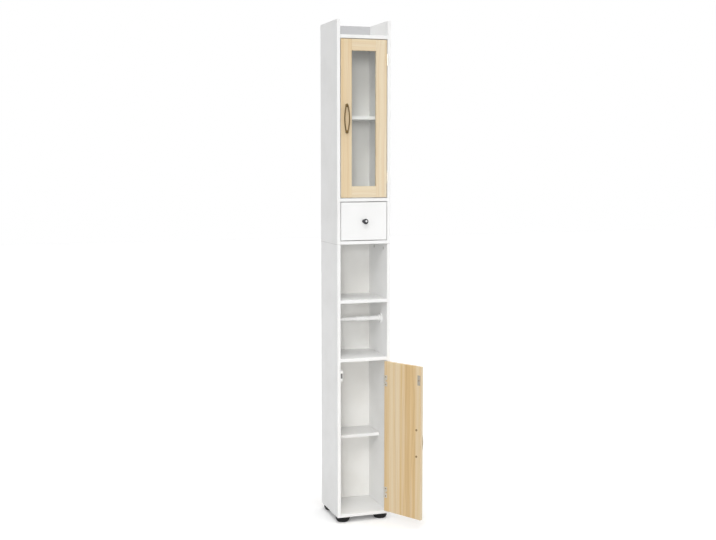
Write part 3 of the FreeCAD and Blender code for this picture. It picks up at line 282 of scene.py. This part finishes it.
LOWER_DOOR_SHUT = turn_shut(joints["lower_door_hinge"])
NO_TURN = Matrix.Identity(MATRIX_SIZE)


def shut_turn(node):
    """How a node is turned before its finish is laid on it."""
    return LOWER_DOOR_SHUT if solids[node]["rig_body"] == "lower_door" else NO_TURN


def piece_box(node):
    """Lowest and highest corner of a node, with its door shut."""
    turn = shut_turn(node)
    corners = [turn @ vertex.co for vertex in solids[node].data.vertices]
    low = Vector(min(corner[axis] for corner in corners) for axis in range(len(AXES)))
    high = Vector(max(corner[axis] for corner in corners) for axis in range(len(AXES)))
    return low, high


def start_finish(node, name):
    """A new finish for a node, its coordinates those of the shut door."""
    finish = Finish(node, name)
    turn = shut_turn(node)
    if turn != NO_TURN:
        finish.close(turn)
    return finish


def edge_distance(finish, node):
    """How far a point on a board's face is from the nearest edge of that face."""
    low, high = piece_box(node)
    depths = []
    for axis, number in enumerate(finish.place.parts()):
        depths.append((number - low[axis]).least(high[axis] - number))
    first, second, third = depths
    return first.least(second).most(first.most(second).least(third))


def edge_wear(finish, node, reach, patch_scale):
    """1 along the edges, fading within reach, broken up where hands and knocks have missed."""
    patches = finish.noise(finish.place, patch_scale, WEAR_DETAIL)
    worn = 1 - edge_distance(finish, node).rise(0.0, reach)
    return worn * patches.rise(*WEAR_PATCH_RANGE)


# Boards

FOIL = (0.875, 0.876, 0.87)
FOIL_SHADE = (0.835, 0.835, 0.825)
FOIL_SCUFF = (0.72, 0.70, 0.66)
# Dark grey painted into the side panels' seams as their shade.
FOIL_SEAM_SHADE = (0.36, 0.35, 0.34)
# The gallery rail is white foil like the other boards; its grey here is painted shade.
FOIL_PAINTED_SHADE_TONES = {"gallery_rail": (0.46, 0.46, 0.47)}
FOIL_CLOUD = {"scale": 7.0, "detail": 2.0}
FOIL_CLOUD_RANGE = (0.3, 0.75)
FOIL_EMBOSS = {"scale": 1700.0, "detail": 2.0}
FOIL_EMBOSS_DEPTH = 0.06 * MM
FOIL_RIPPLE = {"scale": 75.0, "detail": 1.0}
FOIL_RIPPLE_DEPTH = 0.12 * MM
FOIL_BUMP = 0.5
FOIL_SMUDGE = {"scale": 28.0, "detail": 5.0, "roughness": 0.62}
FOIL_SMUDGE_RANGE = (0.35, 0.7)
FOIL_WEAR_REACH = 1.4 * MM
FOIL_WEAR_SCALE = 160.0
FOIL_SCUFF_SHARE = 0.5
FOIL_SEAM_SHADE_REACH = 1.0 * MM
FOIL_SEAM_SHADE_SHARE = 0.6
FOIL_ROUGHNESS = 0.30
FOIL_SMUDGE_DULLNESS = 0.16
FOIL_WEAR_DULLNESS = 0.12
FOIL_SPECULAR = 0.42


def painted_seam_shade(finish, node):
    """1 at the upper and lower end of a side panel: painted shade for the seam where it meets the next
    panel.
    """
    low, high = piece_box(node)
    up = finish.place.parts()[AXES.index("z")]
    return 1 - (up - low.z).least(high.z - up).rise(0.0, FOIL_SEAM_SHADE_REACH)


def foil_tone(finish, node):
    """White with faint clouds, or the node's painted-shade tone: the gallery rail gets a grey that paints
    the shade it stands in.
    """
    if node in FOIL_PAINTED_SHADE_TONES:
        return FOIL_PAINTED_SHADE_TONES[node]
    cloud = finish.noise(finish.place, **FOIL_CLOUD)
    return finish.blend(cloud.rise(*FOIL_CLOUD_RANGE), FOIL, FOIL_SHADE)


def white_board(node):
    """Board under a white satin foil: fine emboss, a faint ripple, dull handling marks, scuffed edges."""
    finish = start_finish(node, "white_foil")
    emboss = finish.noise(finish.place, **FOIL_EMBOSS)
    ripple = finish.noise(finish.place, **FOIL_RIPPLE)
    smudge = finish.noise(finish.place, **FOIL_SMUDGE).rise(*FOIL_SMUDGE_RANGE)
    wear = edge_wear(finish, node, FOIL_WEAR_REACH, FOIL_WEAR_SCALE)
    tone = finish.blend(wear * FOIL_SCUFF_SHARE, foil_tone(finish, node), FOIL_SCUFF)
    # Painted shade: a dark grey line at each end of a side panel stands in for the shadow in the seam.
    if node.endswith("_side"):
        tone = finish.blend(painted_seam_shade(finish, node) * FOIL_SEAM_SHADE_SHARE, tone, FOIL_SEAM_SHADE)
    relief = emboss * FOIL_EMBOSS_DEPTH + ripple * FOIL_RIPPLE_DEPTH
    return finish.surface(
        base_color=tone,
        roughness=FOIL_ROUGHNESS + FOIL_SMUDGE_DULLNESS * smudge + FOIL_WEAR_DULLNESS * wear,
        normal=finish.bump(relief, FOIL_BUMP),
        specular_ior_level=FOIL_SPECULAR)


HARDBOARD_FACE = (0.84, 0.835, 0.81)
HARDBOARD_FACE_SHADE = (0.79, 0.78, 0.75)
HARDBOARD_BROWN = (0.30, 0.185, 0.105)
HARDBOARD_PALE = (0.44, 0.29, 0.175)
BARE_SIDES = {"drawer_bottom": (0.0, 0.0, -1.0)}
BARE_BACK = (0.0, 1.0, 0.0)
BARE_FACING = 0.5
HARDBOARD_FIBRE = {"scale": 420.0, "detail": 6.0, "roughness": 0.7}
HARDBOARD_FIBRE_DEPTH = 0.05 * MM
HARDBOARD_SHIVE = {"detail": 4.0, "roughness": 0.65}
HARDBOARD_SHIVE_STRETCH = (60.0, 60.0, 380.0)
HARDBOARD_FIBRE_SHARE = 0.5
HARDBOARD_SHIVE_SHARE = 0.5
HARDBOARD_BROWN_RANGE = (0.38, 0.64)
HARDBOARD_CLOUD = {"scale": 9.0, "detail": 3.0}
HARDBOARD_CLOUD_RANGE = (0.3, 0.7)
SCREEN_PITCH = 1.3 * MM
SCREEN_DEPTH = 0.08 * MM
HARDBOARD_BUMP = 0.7
HARDBOARD_ROUGHNESS = 0.42
HARDBOARD_BARE_DULLNESS = 0.34
HARDBOARD_FIBRE_DULLNESS = 0.1
HARDBOARD_SPECULAR = 0.35


def screen_imprint(finish):
    """The crossed waves that the wire screen of the press leaves."""
    across, depth, up = finish.place.parts()
    turns = math.tau / SCREEN_PITCH
    return (across * turns).wave() * ((up + depth) * turns).wave()


def thin_board(node):
    """Hardboard: painted white inside, bare brown fibre with a screen imprint on its other side."""
    finish = start_finish(node, "hardboard")
    bare = finish.facing(BARE_SIDES.get(node, BARE_BACK)).over(BARE_FACING)
    fibre = finish.noise(finish.place, **HARDBOARD_FIBRE)
    shive = finish.noise(finish.place * HARDBOARD_SHIVE_STRETCH, **HARDBOARD_SHIVE)
    cloud = finish.noise(finish.place, **HARDBOARD_CLOUD).rise(*HARDBOARD_CLOUD_RANGE)
    mixed = fibre * HARDBOARD_FIBRE_SHARE + shive * HARDBOARD_SHIVE_SHARE
    brown = finish.blend(mixed.rise(*HARDBOARD_BROWN_RANGE), HARDBOARD_BROWN, HARDBOARD_PALE)
    white = finish.blend(cloud, HARDBOARD_FACE, HARDBOARD_FACE_SHADE)
    relief = bare * screen_imprint(finish) * SCREEN_DEPTH + fibre * HARDBOARD_FIBRE_DEPTH
    return finish.surface(
        base_color=finish.blend(bare, white, brown),
        roughness=HARDBOARD_ROUGHNESS + HARDBOARD_BARE_DULLNESS * bare + HARDBOARD_FIBRE_DULLNESS * fibre,
        normal=finish.bump(relief, HARDBOARD_BUMP),
        specular_ior_level=HARDBOARD_SPECULAR)


# Wood

MIDDLE = 0.5
PINE_PALE = (0.755, 0.655, 0.485)
PINE_WARM = (0.655, 0.462, 0.222)
PINE_LATE = (0.47, 0.275, 0.12)
STAVE_WARMTH_SHARES = {"lower_door_panel": (0.4, 1.2, 1.5, 0.95, 0.4, 0.4, 0.85)}
PLAIN_WARMTH_SHARES = {"left_stile": 0.42, "right_stile": 0.05, "bottom_rail": 0.0, "top_rail": 0.15}
USUAL_WARMTH_SHARE = 0.2
CROSSWISE = ("bottom_rail", "top_rail")
GRAIN_SEEDS = 17
SECOND_DRAW = 40.5


class Grain:
    """How the wood of a node lies: across, into and along its grain, and stave by stave."""

    def __init__(self, finish, node):
        low, high = piece_box(node)
        self.across, self.depth, self.along = finish.place.parts()
        width_axis = AXES.index("x")
        if node in CROSSWISE:
            self.across, self.along = self.along, self.across
            width_axis = AXES.index("z")
        plain_share = PLAIN_WARMTH_SHARES.get(node, USUAL_WARMTH_SHARE)
        self.warmth_shares = STAVE_WARMTH_SHARES.get(node, (plain_share,))
        width = high[width_axis] - low[width_axis]
        stave_width = width / len(self.warmth_shares)
        seed = sum(ord(letter) for letter in node) % GRAIN_SEEDS
        from_side = self.across - low[width_axis]
        count = (from_side / stave_width).whole()
        self.place = finish.vector(self.across, self.depth, self.along)
        self.position = from_side / width
        self.from_face = self.depth - low.y
        self.from_middle = from_side - count * stave_width - stave_width / 2
        self.stave = count + seed
        self.luck = finish.chance(self.stave)
        self.second_luck = finish.chance(self.stave + SECOND_DRAW)


RING_STEP = 5.4 * MM
PITH_SPREAD = 136.0 * MM
PITH_DEPTH = 17.0 * MM
PITH_DEPTH_SPREAD = 34.0 * MM
RING_WANDER = {"scale": 2.2, "detail": 2.0}
RING_WANDER_STRETCH = (3.0, 5.0, 1.5)
RING_WANDER_REACH = 45.0 * MM
RING_CHANGE = {"detail": 2.0}
RING_CHANGE_STEP = 0.45
RING_CHANGE_REACH = 3.2
RING_CLEAR = {"detail": 2.0}
RING_CLEAR_STRETCH = (34.0, 1.0, 0.9)
RING_CLEAR_RANGE = (0.3, 0.72)
RING_SHARPNESS = 2.2


def late_wood(finish, grain):
    """Rises to 1 at the dark end of each year's ring, more clearly in some stretches than in others."""
    path = finish.vector(grain.luck, grain.second_luck, grain.along) * RING_WANDER_STRETCH
    wander = (finish.noise(path, **RING_WANDER) - MIDDLE) * RING_WANDER_REACH
    side = grain.from_middle - (grain.luck - MIDDLE) * PITH_SPREAD + wander
    deep = grain.from_face + (PITH_DEPTH + PITH_DEPTH_SPREAD * grain.second_luck)
    rings = (side * side + deep * deep).root() / RING_STEP
    change = finish.noise(finish.vector(rings * RING_CHANGE_STEP, grain.stave, 0.0), **RING_CHANGE)
    stretch = finish.vector(grain.across, grain.stave, grain.along) * RING_CLEAR_STRETCH
    clear = finish.noise(stretch, **RING_CLEAR).rise(*RING_CLEAR_RANGE)
    return (rings + change * RING_CHANGE_REACH).rest() ** RING_SHARPNESS * clear


DOOR_EDGE = Vector((1.0, 0.0, 0.0))
PALE_EDGE_SHARE = 0.85
PALE_EDGE_SHARPNESS = 2.0
WARMTH_DRIFT = {"detail": 2.0}
WARMTH_DRIFT_STRETCH = (3.7, 1.0, 3.4)
WARMTH_LEAST = 0.55
WARMTH_DRIFT_REACH = 0.9


def stave_warmth(finish, grain, node):
    """How warm the wood is: stave by stave, drifting along each, and pale on the door's upright edges."""
    path = finish.vector(grain.stave, 0.0, grain.along) * WARMTH_DRIFT_STRETCH
    drift = finish.noise(path, **WARMTH_DRIFT)
    edge_normal = shut_turn(node).inverted().to_3x3() @ DOOR_EDGE
    edges = finish.facing(edge_normal) ** PALE_EDGE_SHARPNESS
    warmth = finish.steps(grain.position, grain.warmth_shares)
    return warmth * (WARMTH_LEAST + WARMTH_DRIFT_REACH * drift) * (1 - PALE_EDGE_SHARE * edges)


PINE_FIBRE = {"detail": 3.0, "roughness": 0.6}
PINE_FIBRE_STRETCH = (1400.0, 1400.0, 26.0)
PINE_FIBRE_RANGE = (0.5, 0.8)
PINE_FIBRE_SHARE = 0.1
PINE_STREAK = {"detail": 3.0}
PINE_STREAK_STRETCH = (75.0, 40.0, 1.3)
PINE_STREAK_SHIFT = 9.0
PINE_STREAK_RANGE = (0.34, 0.68)
PINE_STREAK_SHARE = 0.42
PINE_WARMTH_SHARE = 0.62
PINE_FLECK = {"detail": 1.0}
PINE_FLECK_STRETCH = (700.0, 700.0, 60.0)
PINE_FLECK_RANGE = (0.72, 0.8)
PINE_FLECK_SHARE = 0.35
PINE_LATE_SHARE = 0.26
PINE_LATE_WARMTH_SHARE = 0.32
PINE_WEAR_REACH = 1.6 * MM
PINE_WEAR_SCALE = 110.0
PINE_WEAR_SHARE = 0.3
PINE_RING_DEPTH = 0.05 * MM
PINE_FIBRE_DEPTH = 0.045 * MM
PINE_BUMP = 0.8
PINE_ROUGHNESS = 0.36
PINE_FIBRE_DULLNESS = 0.14
PINE_LATE_DULLNESS = 0.08
LACQUER = 0.18
LACQUER_ROUGHNESS = 0.22


def pine(node):
    """Lacquered pine with rings, streaks and resin flecks along its grain; wide panels are glued staves."""
    finish = start_finish(node, "pine")
    grain = Grain(finish, node)
    late = late_wood(finish, grain)
    warmth = stave_warmth(finish, grain, node)
    fibre = finish.noise(grain.place * PINE_FIBRE_STRETCH, **PINE_FIBRE)
    shift = finish.vector(0.0, 0.0, grain.luck * PINE_STREAK_SHIFT)
    streak = finish.noise(grain.place * PINE_STREAK_STRETCH + shift, **PINE_STREAK).rise(*PINE_STREAK_RANGE)
    fleck = finish.noise(grain.place * PINE_FLECK_STRETCH, **PINE_FLECK).rise(*PINE_FLECK_RANGE)
    wear = edge_wear(finish, node, PINE_WEAR_REACH, PINE_WEAR_SCALE)
    ring_share = late * (PINE_LATE_SHARE + PINE_LATE_WARMTH_SHARE * warmth)
    fibre_share = fibre.rise(*PINE_FIBRE_RANGE) * PINE_FIBRE_SHARE
    tone = finish.blend(streak * PINE_STREAK_SHARE + warmth * PINE_WARMTH_SHARE, PINE_PALE, PINE_WARM)
    for share in (ring_share + fibre_share, fleck * PINE_FLECK_SHARE, wear * PINE_WEAR_SHARE):
        tone = finish.blend(share, tone, PINE_LATE)
    relief = (1 - late) * PINE_RING_DEPTH - fibre * PINE_FIBRE_DEPTH
    return finish.surface(
        base_color=tone,
        roughness=PINE_ROUGHNESS + PINE_FIBRE_DULLNESS * fibre + PINE_LATE_DULLNESS * late,
        normal=finish.bump(relief, PINE_BUMP),
        coat_weight=LACQUER, coat_roughness=LACQUER_ROUGHNESS)


BEECH_PALE = (0.74, 0.565, 0.375)
BEECH_DARK = (0.52, 0.345, 0.2)
BEECH_GRAIN = {"detail": 3.0}
BEECH_GRAIN_STRETCH = (90.0, 900.0, 900.0)
BEECH_GRAIN_RANGE = (0.35, 0.7)
BEECH_GRAIN_SHARE = 0.5
BEECH_GRAIN_DEPTH = 0.08 * MM
BEECH_FLECK = {"detail": 1.0}
BEECH_FLECK_STRETCH = (420.0, 2600.0, 2600.0)
BEECH_FLECK_RANGE = (0.62, 0.72)
BEECH_FLECK_SHARE = 0.5
BEECH_BUMP = 0.6
BEECH_ROUGHNESS = 0.55
BEECH_GRAIN_DULLNESS = 0.15


def beech(node):
    """Turned beech pegs: close straight grain with short dark flecks."""
    finish = start_finish(node, "beech")
    grain = finish.noise(finish.place * BEECH_GRAIN_STRETCH, **BEECH_GRAIN)
    fleck = finish.noise(finish.place * BEECH_FLECK_STRETCH, **BEECH_FLECK).rise(*BEECH_FLECK_RANGE)
    dark = grain.rise(*BEECH_GRAIN_RANGE) * BEECH_GRAIN_SHARE + fleck * BEECH_FLECK_SHARE
    return finish.surface(
        base_color=finish.blend(dark, BEECH_PALE, BEECH_DARK),
        roughness=BEECH_ROUGHNESS + BEECH_GRAIN_DULLNESS * grain,
        normal=finish.bump(grain, BEECH_BUMP, BEECH_GRAIN_DEPTH))


# Glass

GLASS_TINT = (0.985, 0.99, 0.985)
GLASS_IOR = 1.5
GLASS_DUST = {"scale": 22.0, "detail": 6.0, "roughness": 0.65}
GLASS_DUST_RANGE = (0.55, 0.8)
GLASS_RIPPLE = {"scale": 6.0, "detail": 1.0}
GLASS_RIPPLE_DEPTH = 0.05 * MM
GLASS_BUMP = 0.4
GLASS_ROUGHNESS = 0.012
GLASS_DUST_DULLNESS = 0.03


def glass(node):
    """Clear float glass, very faintly green, with a trace of dust that dulls its gloss in patches."""
    finish = start_finish(node, "clear_glass")
    dust = finish.noise(finish.place, **GLASS_DUST).rise(*GLASS_DUST_RANGE)
    ripple = finish.noise(finish.place, **GLASS_RIPPLE)
    pane = finish.principled(
        base_color=GLASS_TINT,
        roughness=GLASS_ROUGHNESS + GLASS_DUST_DULLNESS * dust,
        normal=finish.bump(ripple, GLASS_BUMP, GLASS_RIPPLE_DEPTH),
        transmission_weight=FULL, ior=GLASS_IOR)
    clear = finish.node("ShaderNodeBsdfTransparent", {}, {"Color": GLASS_TINT})
    lamp_light = rays(finish, "Is Shadow Ray", "Is Diffuse Ray")
    return finish.end(finish.node("ShaderNodeMixShader", {}, {0: lamp_light, 1: pane, 2: clear}))


# Metals

METALS = {
    "antique_bronze": {
        "base": (0.11, 0.072, 0.03), "marked": (0.30, 0.21, 0.10), "roughness": 0.30, "patch_scale": 190.0},
    "rubbed_bronze": {
        "base": (0.30, 0.21, 0.11), "marked": (0.42, 0.32, 0.2), "roughness": 0.34, "patch_scale": 190.0},
    "nickel_plate": {
        "base": (0.70, 0.67, 0.61), "marked": (0.5, 0.46, 0.4), "roughness": 0.3, "patch_scale": 210.0},
    "rubbed_nickel": {
        "base": (0.42, 0.38, 0.32), "marked": (0.3, 0.27, 0.23), "roughness": 0.34, "patch_scale": 210.0},
    "zinc_plate": {
        "base": (0.63, 0.63, 0.61), "marked": (0.5, 0.49, 0.45), "roughness": 0.28, "patch_scale": 240.0},
    "dark_steel": {
        "base": (0.19, 0.185, 0.18), "marked": (0.1, 0.09, 0.085), "roughness": 0.34, "patch_scale": 150.0}}
METAL_BRUSH = {"detail": 3.0, "roughness": 0.6}
METAL_BRUSH_STRETCH = (900.0, 900.0, 60.0)
METAL_BRUSH_RELIEF_SHARE = 0.6
METAL_PATCH = {"detail": 5.0, "roughness": 0.6}
METAL_PATCH_RANGE = (0.45, 0.7)
METAL_PATCH_SHARE = 0.45
METAL_SCRATCH = {"detail": 1.0}
METAL_SCRATCH_STRETCH = (140.0, 2600.0, 300.0)
METAL_SCRATCH_RANGE = (0.66, 0.74)
METAL_SCRATCH_SHARE = 0.15
METAL_SCRATCH_RELIEF_SHARE = 0.4
METAL_RELIEF_DEPTH = 0.03 * MM
METAL_BUMP = 0.6
METAL_BRUSH_DULLNESS = 0.12
METAL_PATCH_DULLNESS = 0.1


def metal(node, name):
    """A metal with brush lines and patches where its surface has taken marks."""
    finish = start_finish(node, name)
    facts = METALS[name]
    lines = finish.noise(finish.place * METAL_BRUSH_STRETCH, **METAL_BRUSH)
    patches = finish.noise(finish.place, facts["patch_scale"], **METAL_PATCH).rise(*METAL_PATCH_RANGE)
    scratch = finish.noise(finish.place * METAL_SCRATCH_STRETCH, **METAL_SCRATCH).rise(*METAL_SCRATCH_RANGE)
    marks = patches * METAL_PATCH_SHARE + scratch * METAL_SCRATCH_SHARE
    relief = lines * METAL_BRUSH_RELIEF_SHARE + scratch * METAL_SCRATCH_RELIEF_SHARE
    return finish.surface(
        base_color=finish.blend(marks, facts["base"], facts["marked"]),
        metallic=FULL,
        roughness=facts["roughness"] + METAL_BRUSH_DULLNESS * lines + METAL_PATCH_DULLNESS * patches,
        normal=finish.bump(relief, METAL_BUMP, METAL_RELIEF_DEPTH))


def bronze(node):
    """Antique bronze: dark brown on the handles, rubbed to warmer metal on their screws."""
    return metal(node, "rubbed_bronze" if node.endswith("_screws") else "antique_bronze")


STRIKES = ("upper_strike", "lower_strike")


def nickel(node):
    """Nickel plate, duller on the strikes where the catches pull."""
    return metal(node, "rubbed_nickel" if node in STRIKES else "nickel_plate")


def zinc(node):
    return metal(node, "zinc_plate")


def dark_steel(node):
    return metal(node, "dark_steel")


CHROME_PAINTED_DARK_REFLECTION = (0.045, 0.045, 0.05)
CHROME_PAINTED_HIGHLIGHT = (0.8, 0.8, 0.81)
CHROME_PATCH = {"scale": 260.0, "detail": 5.0, "roughness": 0.6}
CHROME_GRAIN = {"scale": 900.0, "detail": 2.0}
CHROME_GRAIN_DEPTH = 0.02 * MM
CHROME_BUMP = 0.4
CHROME_ROUGHNESS = 0.14
CHROME_PATCH_DULLNESS = 0.1
# A painted glint: the bright spot sits a little right of and above the knob's middle, as a reflection
# would.
GLINT_OFFSET = Vector((1.0, 0.0, 1.2)) * MM
GLINT_RANGE = (2.2 * MM, 5.2 * MM)
GLINT_RAGGEDNESS = 1.5 * MM
GLINT_SMOOTHING = 0.06


def chrome(node):
    """Chrome with a painted highlight: bright near the middle of the knob's front, with a painted dark
    reflection round it.
    """
    finish = start_finish(node, "chrome")
    patches = finish.noise(finish.place, **CHROME_PATCH)
    grain = finish.noise(finish.place, **CHROME_GRAIN)
    low, high = piece_box(node)
    across, _, up = (finish.place - ((low + high) / 2 + GLINT_OFFSET)).parts()
    reach = (across * across + up * up).root() + (patches - MIDDLE) * GLINT_RAGGEDNESS
    # Painted highlight and painted dark reflection, blended by distance from the glint's middle.
    painted_glint = 1 - reach.rise(*GLINT_RANGE)
    return finish.surface(
        base_color=finish.blend(painted_glint, CHROME_PAINTED_DARK_REFLECTION, CHROME_PAINTED_HIGHLIGHT),
        metallic=FULL,
        roughness=CHROME_ROUGHNESS + CHROME_PATCH_DULLNESS * patches - GLINT_SMOOTHING * painted_glint,
        normal=finish.bump(grain, CHROME_BUMP, CHROME_GRAIN_DEPTH))


# Plastics

PLASTICS = {
    "black_moulding": {
        "base": (0.006, 0.006, 0.0065), "rubbed": (0.015, 0.015, 0.015), "roughness": 0.55,
        "grain_scale": 1500.0, "grain_depth": 0.08 * MM, "specular": 0.2},
    "white_moulding": {
        "base": (0.865, 0.865, 0.855), "rubbed": (0.8, 0.795, 0.78), "roughness": 0.24,
        "grain_scale": 900.0, "grain_depth": 0.04 * MM, "specular": 0.5}}
PLASTIC_GRAIN = {"detail": 2.0}
PLASTIC_FLOW = {"scale": 46.0, "detail": 3.0}
PLASTIC_FLOW_STRETCH = (1.0, 1.0, 0.3)
PLASTIC_FLOW_RANGE = (0.35, 0.7)
PLASTIC_FLOW_SHARE = 0.35
PLASTIC_RUB = {"scale": 120.0, "detail": 4.0, "roughness": 0.65}
PLASTIC_RUB_RANGE = (0.52, 0.75)
PLASTIC_RUB_SHARE = 0.4
PLASTIC_GRAIN_DULLNESS = 0.12
PLASTIC_RUB_POLISH = 0.08
PLASTIC_BUMP = 0.6


def plastic(node, name):
    """Moulded plastic with a fine spark-eroded grain, flow marks and rubbed patches."""
    finish = start_finish(node, name)
    facts = PLASTICS[name]
    grain = finish.noise(finish.place, facts["grain_scale"], **PLASTIC_GRAIN)
    flow = finish.noise(finish.place * PLASTIC_FLOW_STRETCH, **PLASTIC_FLOW).rise(*PLASTIC_FLOW_RANGE)
    rub = finish.noise(finish.place, **PLASTIC_RUB).rise(*PLASTIC_RUB_RANGE)
    marks = flow * PLASTIC_FLOW_SHARE + rub * PLASTIC_RUB_SHARE
    return finish.surface(
        base_color=finish.blend(marks, facts["base"], facts["rubbed"]),
        roughness=facts["roughness"] + PLASTIC_GRAIN_DULLNESS * grain - PLASTIC_RUB_POLISH * rub,
        normal=finish.bump(grain, PLASTIC_BUMP, facts["grain_depth"]),
        specular_ior_level=facts["specular"])


def black_plastic(node):
    return plastic(node, "black_moulding")


def white_plastic(node):
    return plastic(node, "white_moulding")


FINISHES = {
    "white_board": white_board, "thin_board": thin_board, "pine": pine, "beech": beech, "glass": glass,
    "bronze": bronze, "chrome": chrome, "nickel": nickel, "zinc": zinc, "dark_steel": dark_steel,
    "black_plastic": black_plastic, "white_plastic": white_plastic}


def dress_solids():
    """Gives every solid the finish of its material slot."""
    for name in sorted(solids):
        skin = solids[name].data.materials
        slot = skin[0].name.split(".")[0]
        finish = FINISHES[slot](name)
        for index in range(len(skin)):
            skin[index] = finish


def add_object(name, data):
    """A new object of that name in the scene."""
    made = bpy.data.objects.new(name, data)
    bpy.context.scene.collection.objects.link(made)
    return made


# Spring in the roll holder

SPRING_WIRE = 1.0 * MM
SPRING_TURNS = 11
SPRING_CLOSED_TURNS = 2
STEPS_PER_TURN = 24
SPLINE_ORDER = 3


def spring_path(low, high):
    """The line of a spring wound about X that fills the space between two corners, its end turns closed."""
    centre = (low + high) / 2
    radius = (high.z - low.z - SPRING_WIRE) / 2
    start = low.x + SPRING_WIRE / 2
    closed_run = SPRING_CLOSED_TURNS * SPRING_WIRE
    open_turns = SPRING_TURNS - 2 * SPRING_CLOSED_TURNS
    open_pitch = (high.x - low.x - SPRING_WIRE - 2 * closed_run) / open_turns
    points = []
    for step in range(SPRING_TURNS * STEPS_PER_TURN + 1):
        turn = step / STEPS_PER_TURN
        opened = min(max(turn - SPRING_CLOSED_TURNS, 0.0), open_turns)
        run = start + (turn - opened) * SPRING_WIRE + opened * open_pitch
        angle = math.tau * turn
        points.append((run, centre.y + radius * math.cos(angle), centre.z + radius * math.sin(angle)))
    return points


def spring_mesh(points):
    """A round wire along points."""
    curve = bpy.data.curves.new("coil_spring", "CURVE")
    curve.dimensions = "3D"
    curve.bevel_depth = SPRING_WIRE / 2
    curve.use_fill_caps = True
    spline = curve.splines.new("NURBS")
    spline.points.add(len(points) - 1)
    for control, point in zip(spline.points, points):
        control.co = (*point, FULL)
    spline.order_u = SPLINE_ORDER
    spline.use_endpoint_u = True
    drawn = bpy.data.objects.new("spring_path", curve)
    mesh = bpy.data.meshes.new_from_object(drawn)
    bpy.data.objects.remove(drawn)
    for face in mesh.polygons:
        face.use_smooth = True
    return mesh


def coil_spring():
    """A wound wire spring in the place of the plain sleeve, carried on the roll rod."""
    low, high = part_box("roll_spring")
    spring = add_object("coil_spring", spring_mesh(spring_path(low, high)))
    spring.data.materials.clear()
    spring.data.materials.append(zinc("roll_spring"))
    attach(spring, "roll_rod")
    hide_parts("roll_spring")
    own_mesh(spring)


# Studio

WHITE = (1.0, 1.0, 1.0)
DARK = (0.0, 0.0, 0.0)
FLOOR_REACH = 14.0
FLOOR_CORNERS = ((-1, -1), (1, -1), (1, 1), (-1, 1))
FLOOR_SEEN = (0.93, 0.93, 0.93)
FLOOR_BOUNCE = (0.55, 0.55, 0.55)
FLOOR_LIFT = (0.10, 0.10, 0.10)
FLOOR_GRAIN = {"scale": 300.0, "detail": 2.0}
FLOOR_GRAIN_DEPTH = 0.05 * MM
FLOOR_BUMP = 0.3
FLOOR_ROUGHNESS = 0.75
FLOOR_SPECULAR = 0.1
AMBIENT = 0.205
LAMPS = {
    "left_lamp": {"azimuth": -55.0, "height": 20.0, "spread": 35.0, "energy": 0.42},
    "low_lamp": {"azimuth": -18.0, "height": 6.0, "spread": 16.0, "energy": 0.94},
    "high_lamp": {"azimuth": -25.0, "height": 35.0, "spread": 20.0, "energy": 0.75},
    "top_lamp": {"azimuth": -15.0, "height": 84.0, "spread": 50.0, "energy": 1.75},
    "right_lamp": {"azimuth": 50.0, "height": 36.0, "spread": 40.0, "energy": 0.40},
    "rear_lamp": {"azimuth": 115.0, "height": 30.0, "spread": 60.0, "energy": 0.6}}


def seen_rays(tree):
    """1 for what the camera sees, straight or in gloss and glass; 0 for light on its way to a surface."""
    return rays(tree, "Is Camera Ray", "Is Glossy Ray", "Is Transmission Ray")


def floor_paint():
    """Pale paint that the camera sees lighter than the light it throws back."""
    paint = Finish("studio_floor", "pale_paint")
    grain = paint.noise(paint.place, **FLOOR_GRAIN)
    return paint.surface(
        base_color=paint.blend(seen_rays(paint), FLOOR_BOUNCE, FLOOR_SEEN),
        roughness=FLOOR_ROUGHNESS,
        specular_ior_level=FLOOR_SPECULAR,
        emission_color=paint.blend(seen_rays(paint), DARK, FLOOR_LIFT), emission_strength=FULL,
        normal=paint.bump(grain, FLOOR_BUMP, FLOOR_GRAIN_DEPTH))


def build_floor():
    """A pale floor that keeps the shadow and looks white where it is lit."""
    low, high = solid_box
    middle = (low + high) / 2
    mesh = bpy.data.meshes.new("studio_floor")
    corners = [(middle.x + x * FLOOR_REACH, middle.y + y * FLOOR_REACH, low.z) for x, y in FLOOR_CORNERS]
    mesh.from_pydata(corners, [], [range(len(corners))])
    mesh.materials.append(floor_paint())
    add_object("studio_floor", mesh)


def build_world():
    """Even light from all round; a white ground where the camera looks past the cabinet."""
    world = bpy.data.worlds.new("studio")
    bpy.context.scene.world = world
    sky = Tree(world)
    light = sky.node("ShaderNodeBackground", {}, {"Color": WHITE, "Strength": AMBIENT})
    ground = sky.node("ShaderNodeBackground", {}, {"Color": WHITE, "Strength": FULL})
    both = sky.node("ShaderNodeMixShader", {}, {0: seen_rays(sky), 1: light, 2: ground})
    out = sky.nodes.new("ShaderNodeOutputWorld")
    sky.links.new(both.socket, out.inputs["Surface"])


def build_lamps():
    """Broad soft lamps round the cabinet, each turned to it from its own side and height."""
    for name, facts in LAMPS.items():
        lamp = bpy.data.lights.new(name, "SUN")
        lamp.energy = facts["energy"]
        lamp.angle = math.radians(facts["spread"])
        light = add_object(name, lamp)
        light.rotation_euler = (math.radians(LEVEL - facts["height"]), 0.0, math.radians(facts["azimuth"]))


# Camera

PHOTO_WIDTH = 716
FOCAL_PIXELS = 1124.2
SENSOR_WIDTH = 36.0
CAMERA_PLACE = (-1.2300, -3.8185, 1.3178)
CAMERA_YAW = 18.651
CAMERA_PITCH = 5.625


def build_camera():
    """A camera at the photograph's viewing angle."""
    view = bpy.data.cameras.new("photo_camera")
    view.sensor_width = SENSOR_WIDTH
    view.lens = SENSOR_WIDTH * FOCAL_PIXELS / PHOTO_WIDTH
    camera = add_object("photo_camera", view)
    camera.location = CAMERA_PLACE
    camera.rotation_euler = (math.radians(LEVEL - CAMERA_PITCH), 0.0, math.radians(-CAMERA_YAW))
    bpy.context.scene.camera = camera


dress_solids()
coil_spring()
build_floor()
build_world()
build_lamps()
build_camera()
bpy.context.scene.view_settings.view_transform = "Standard"
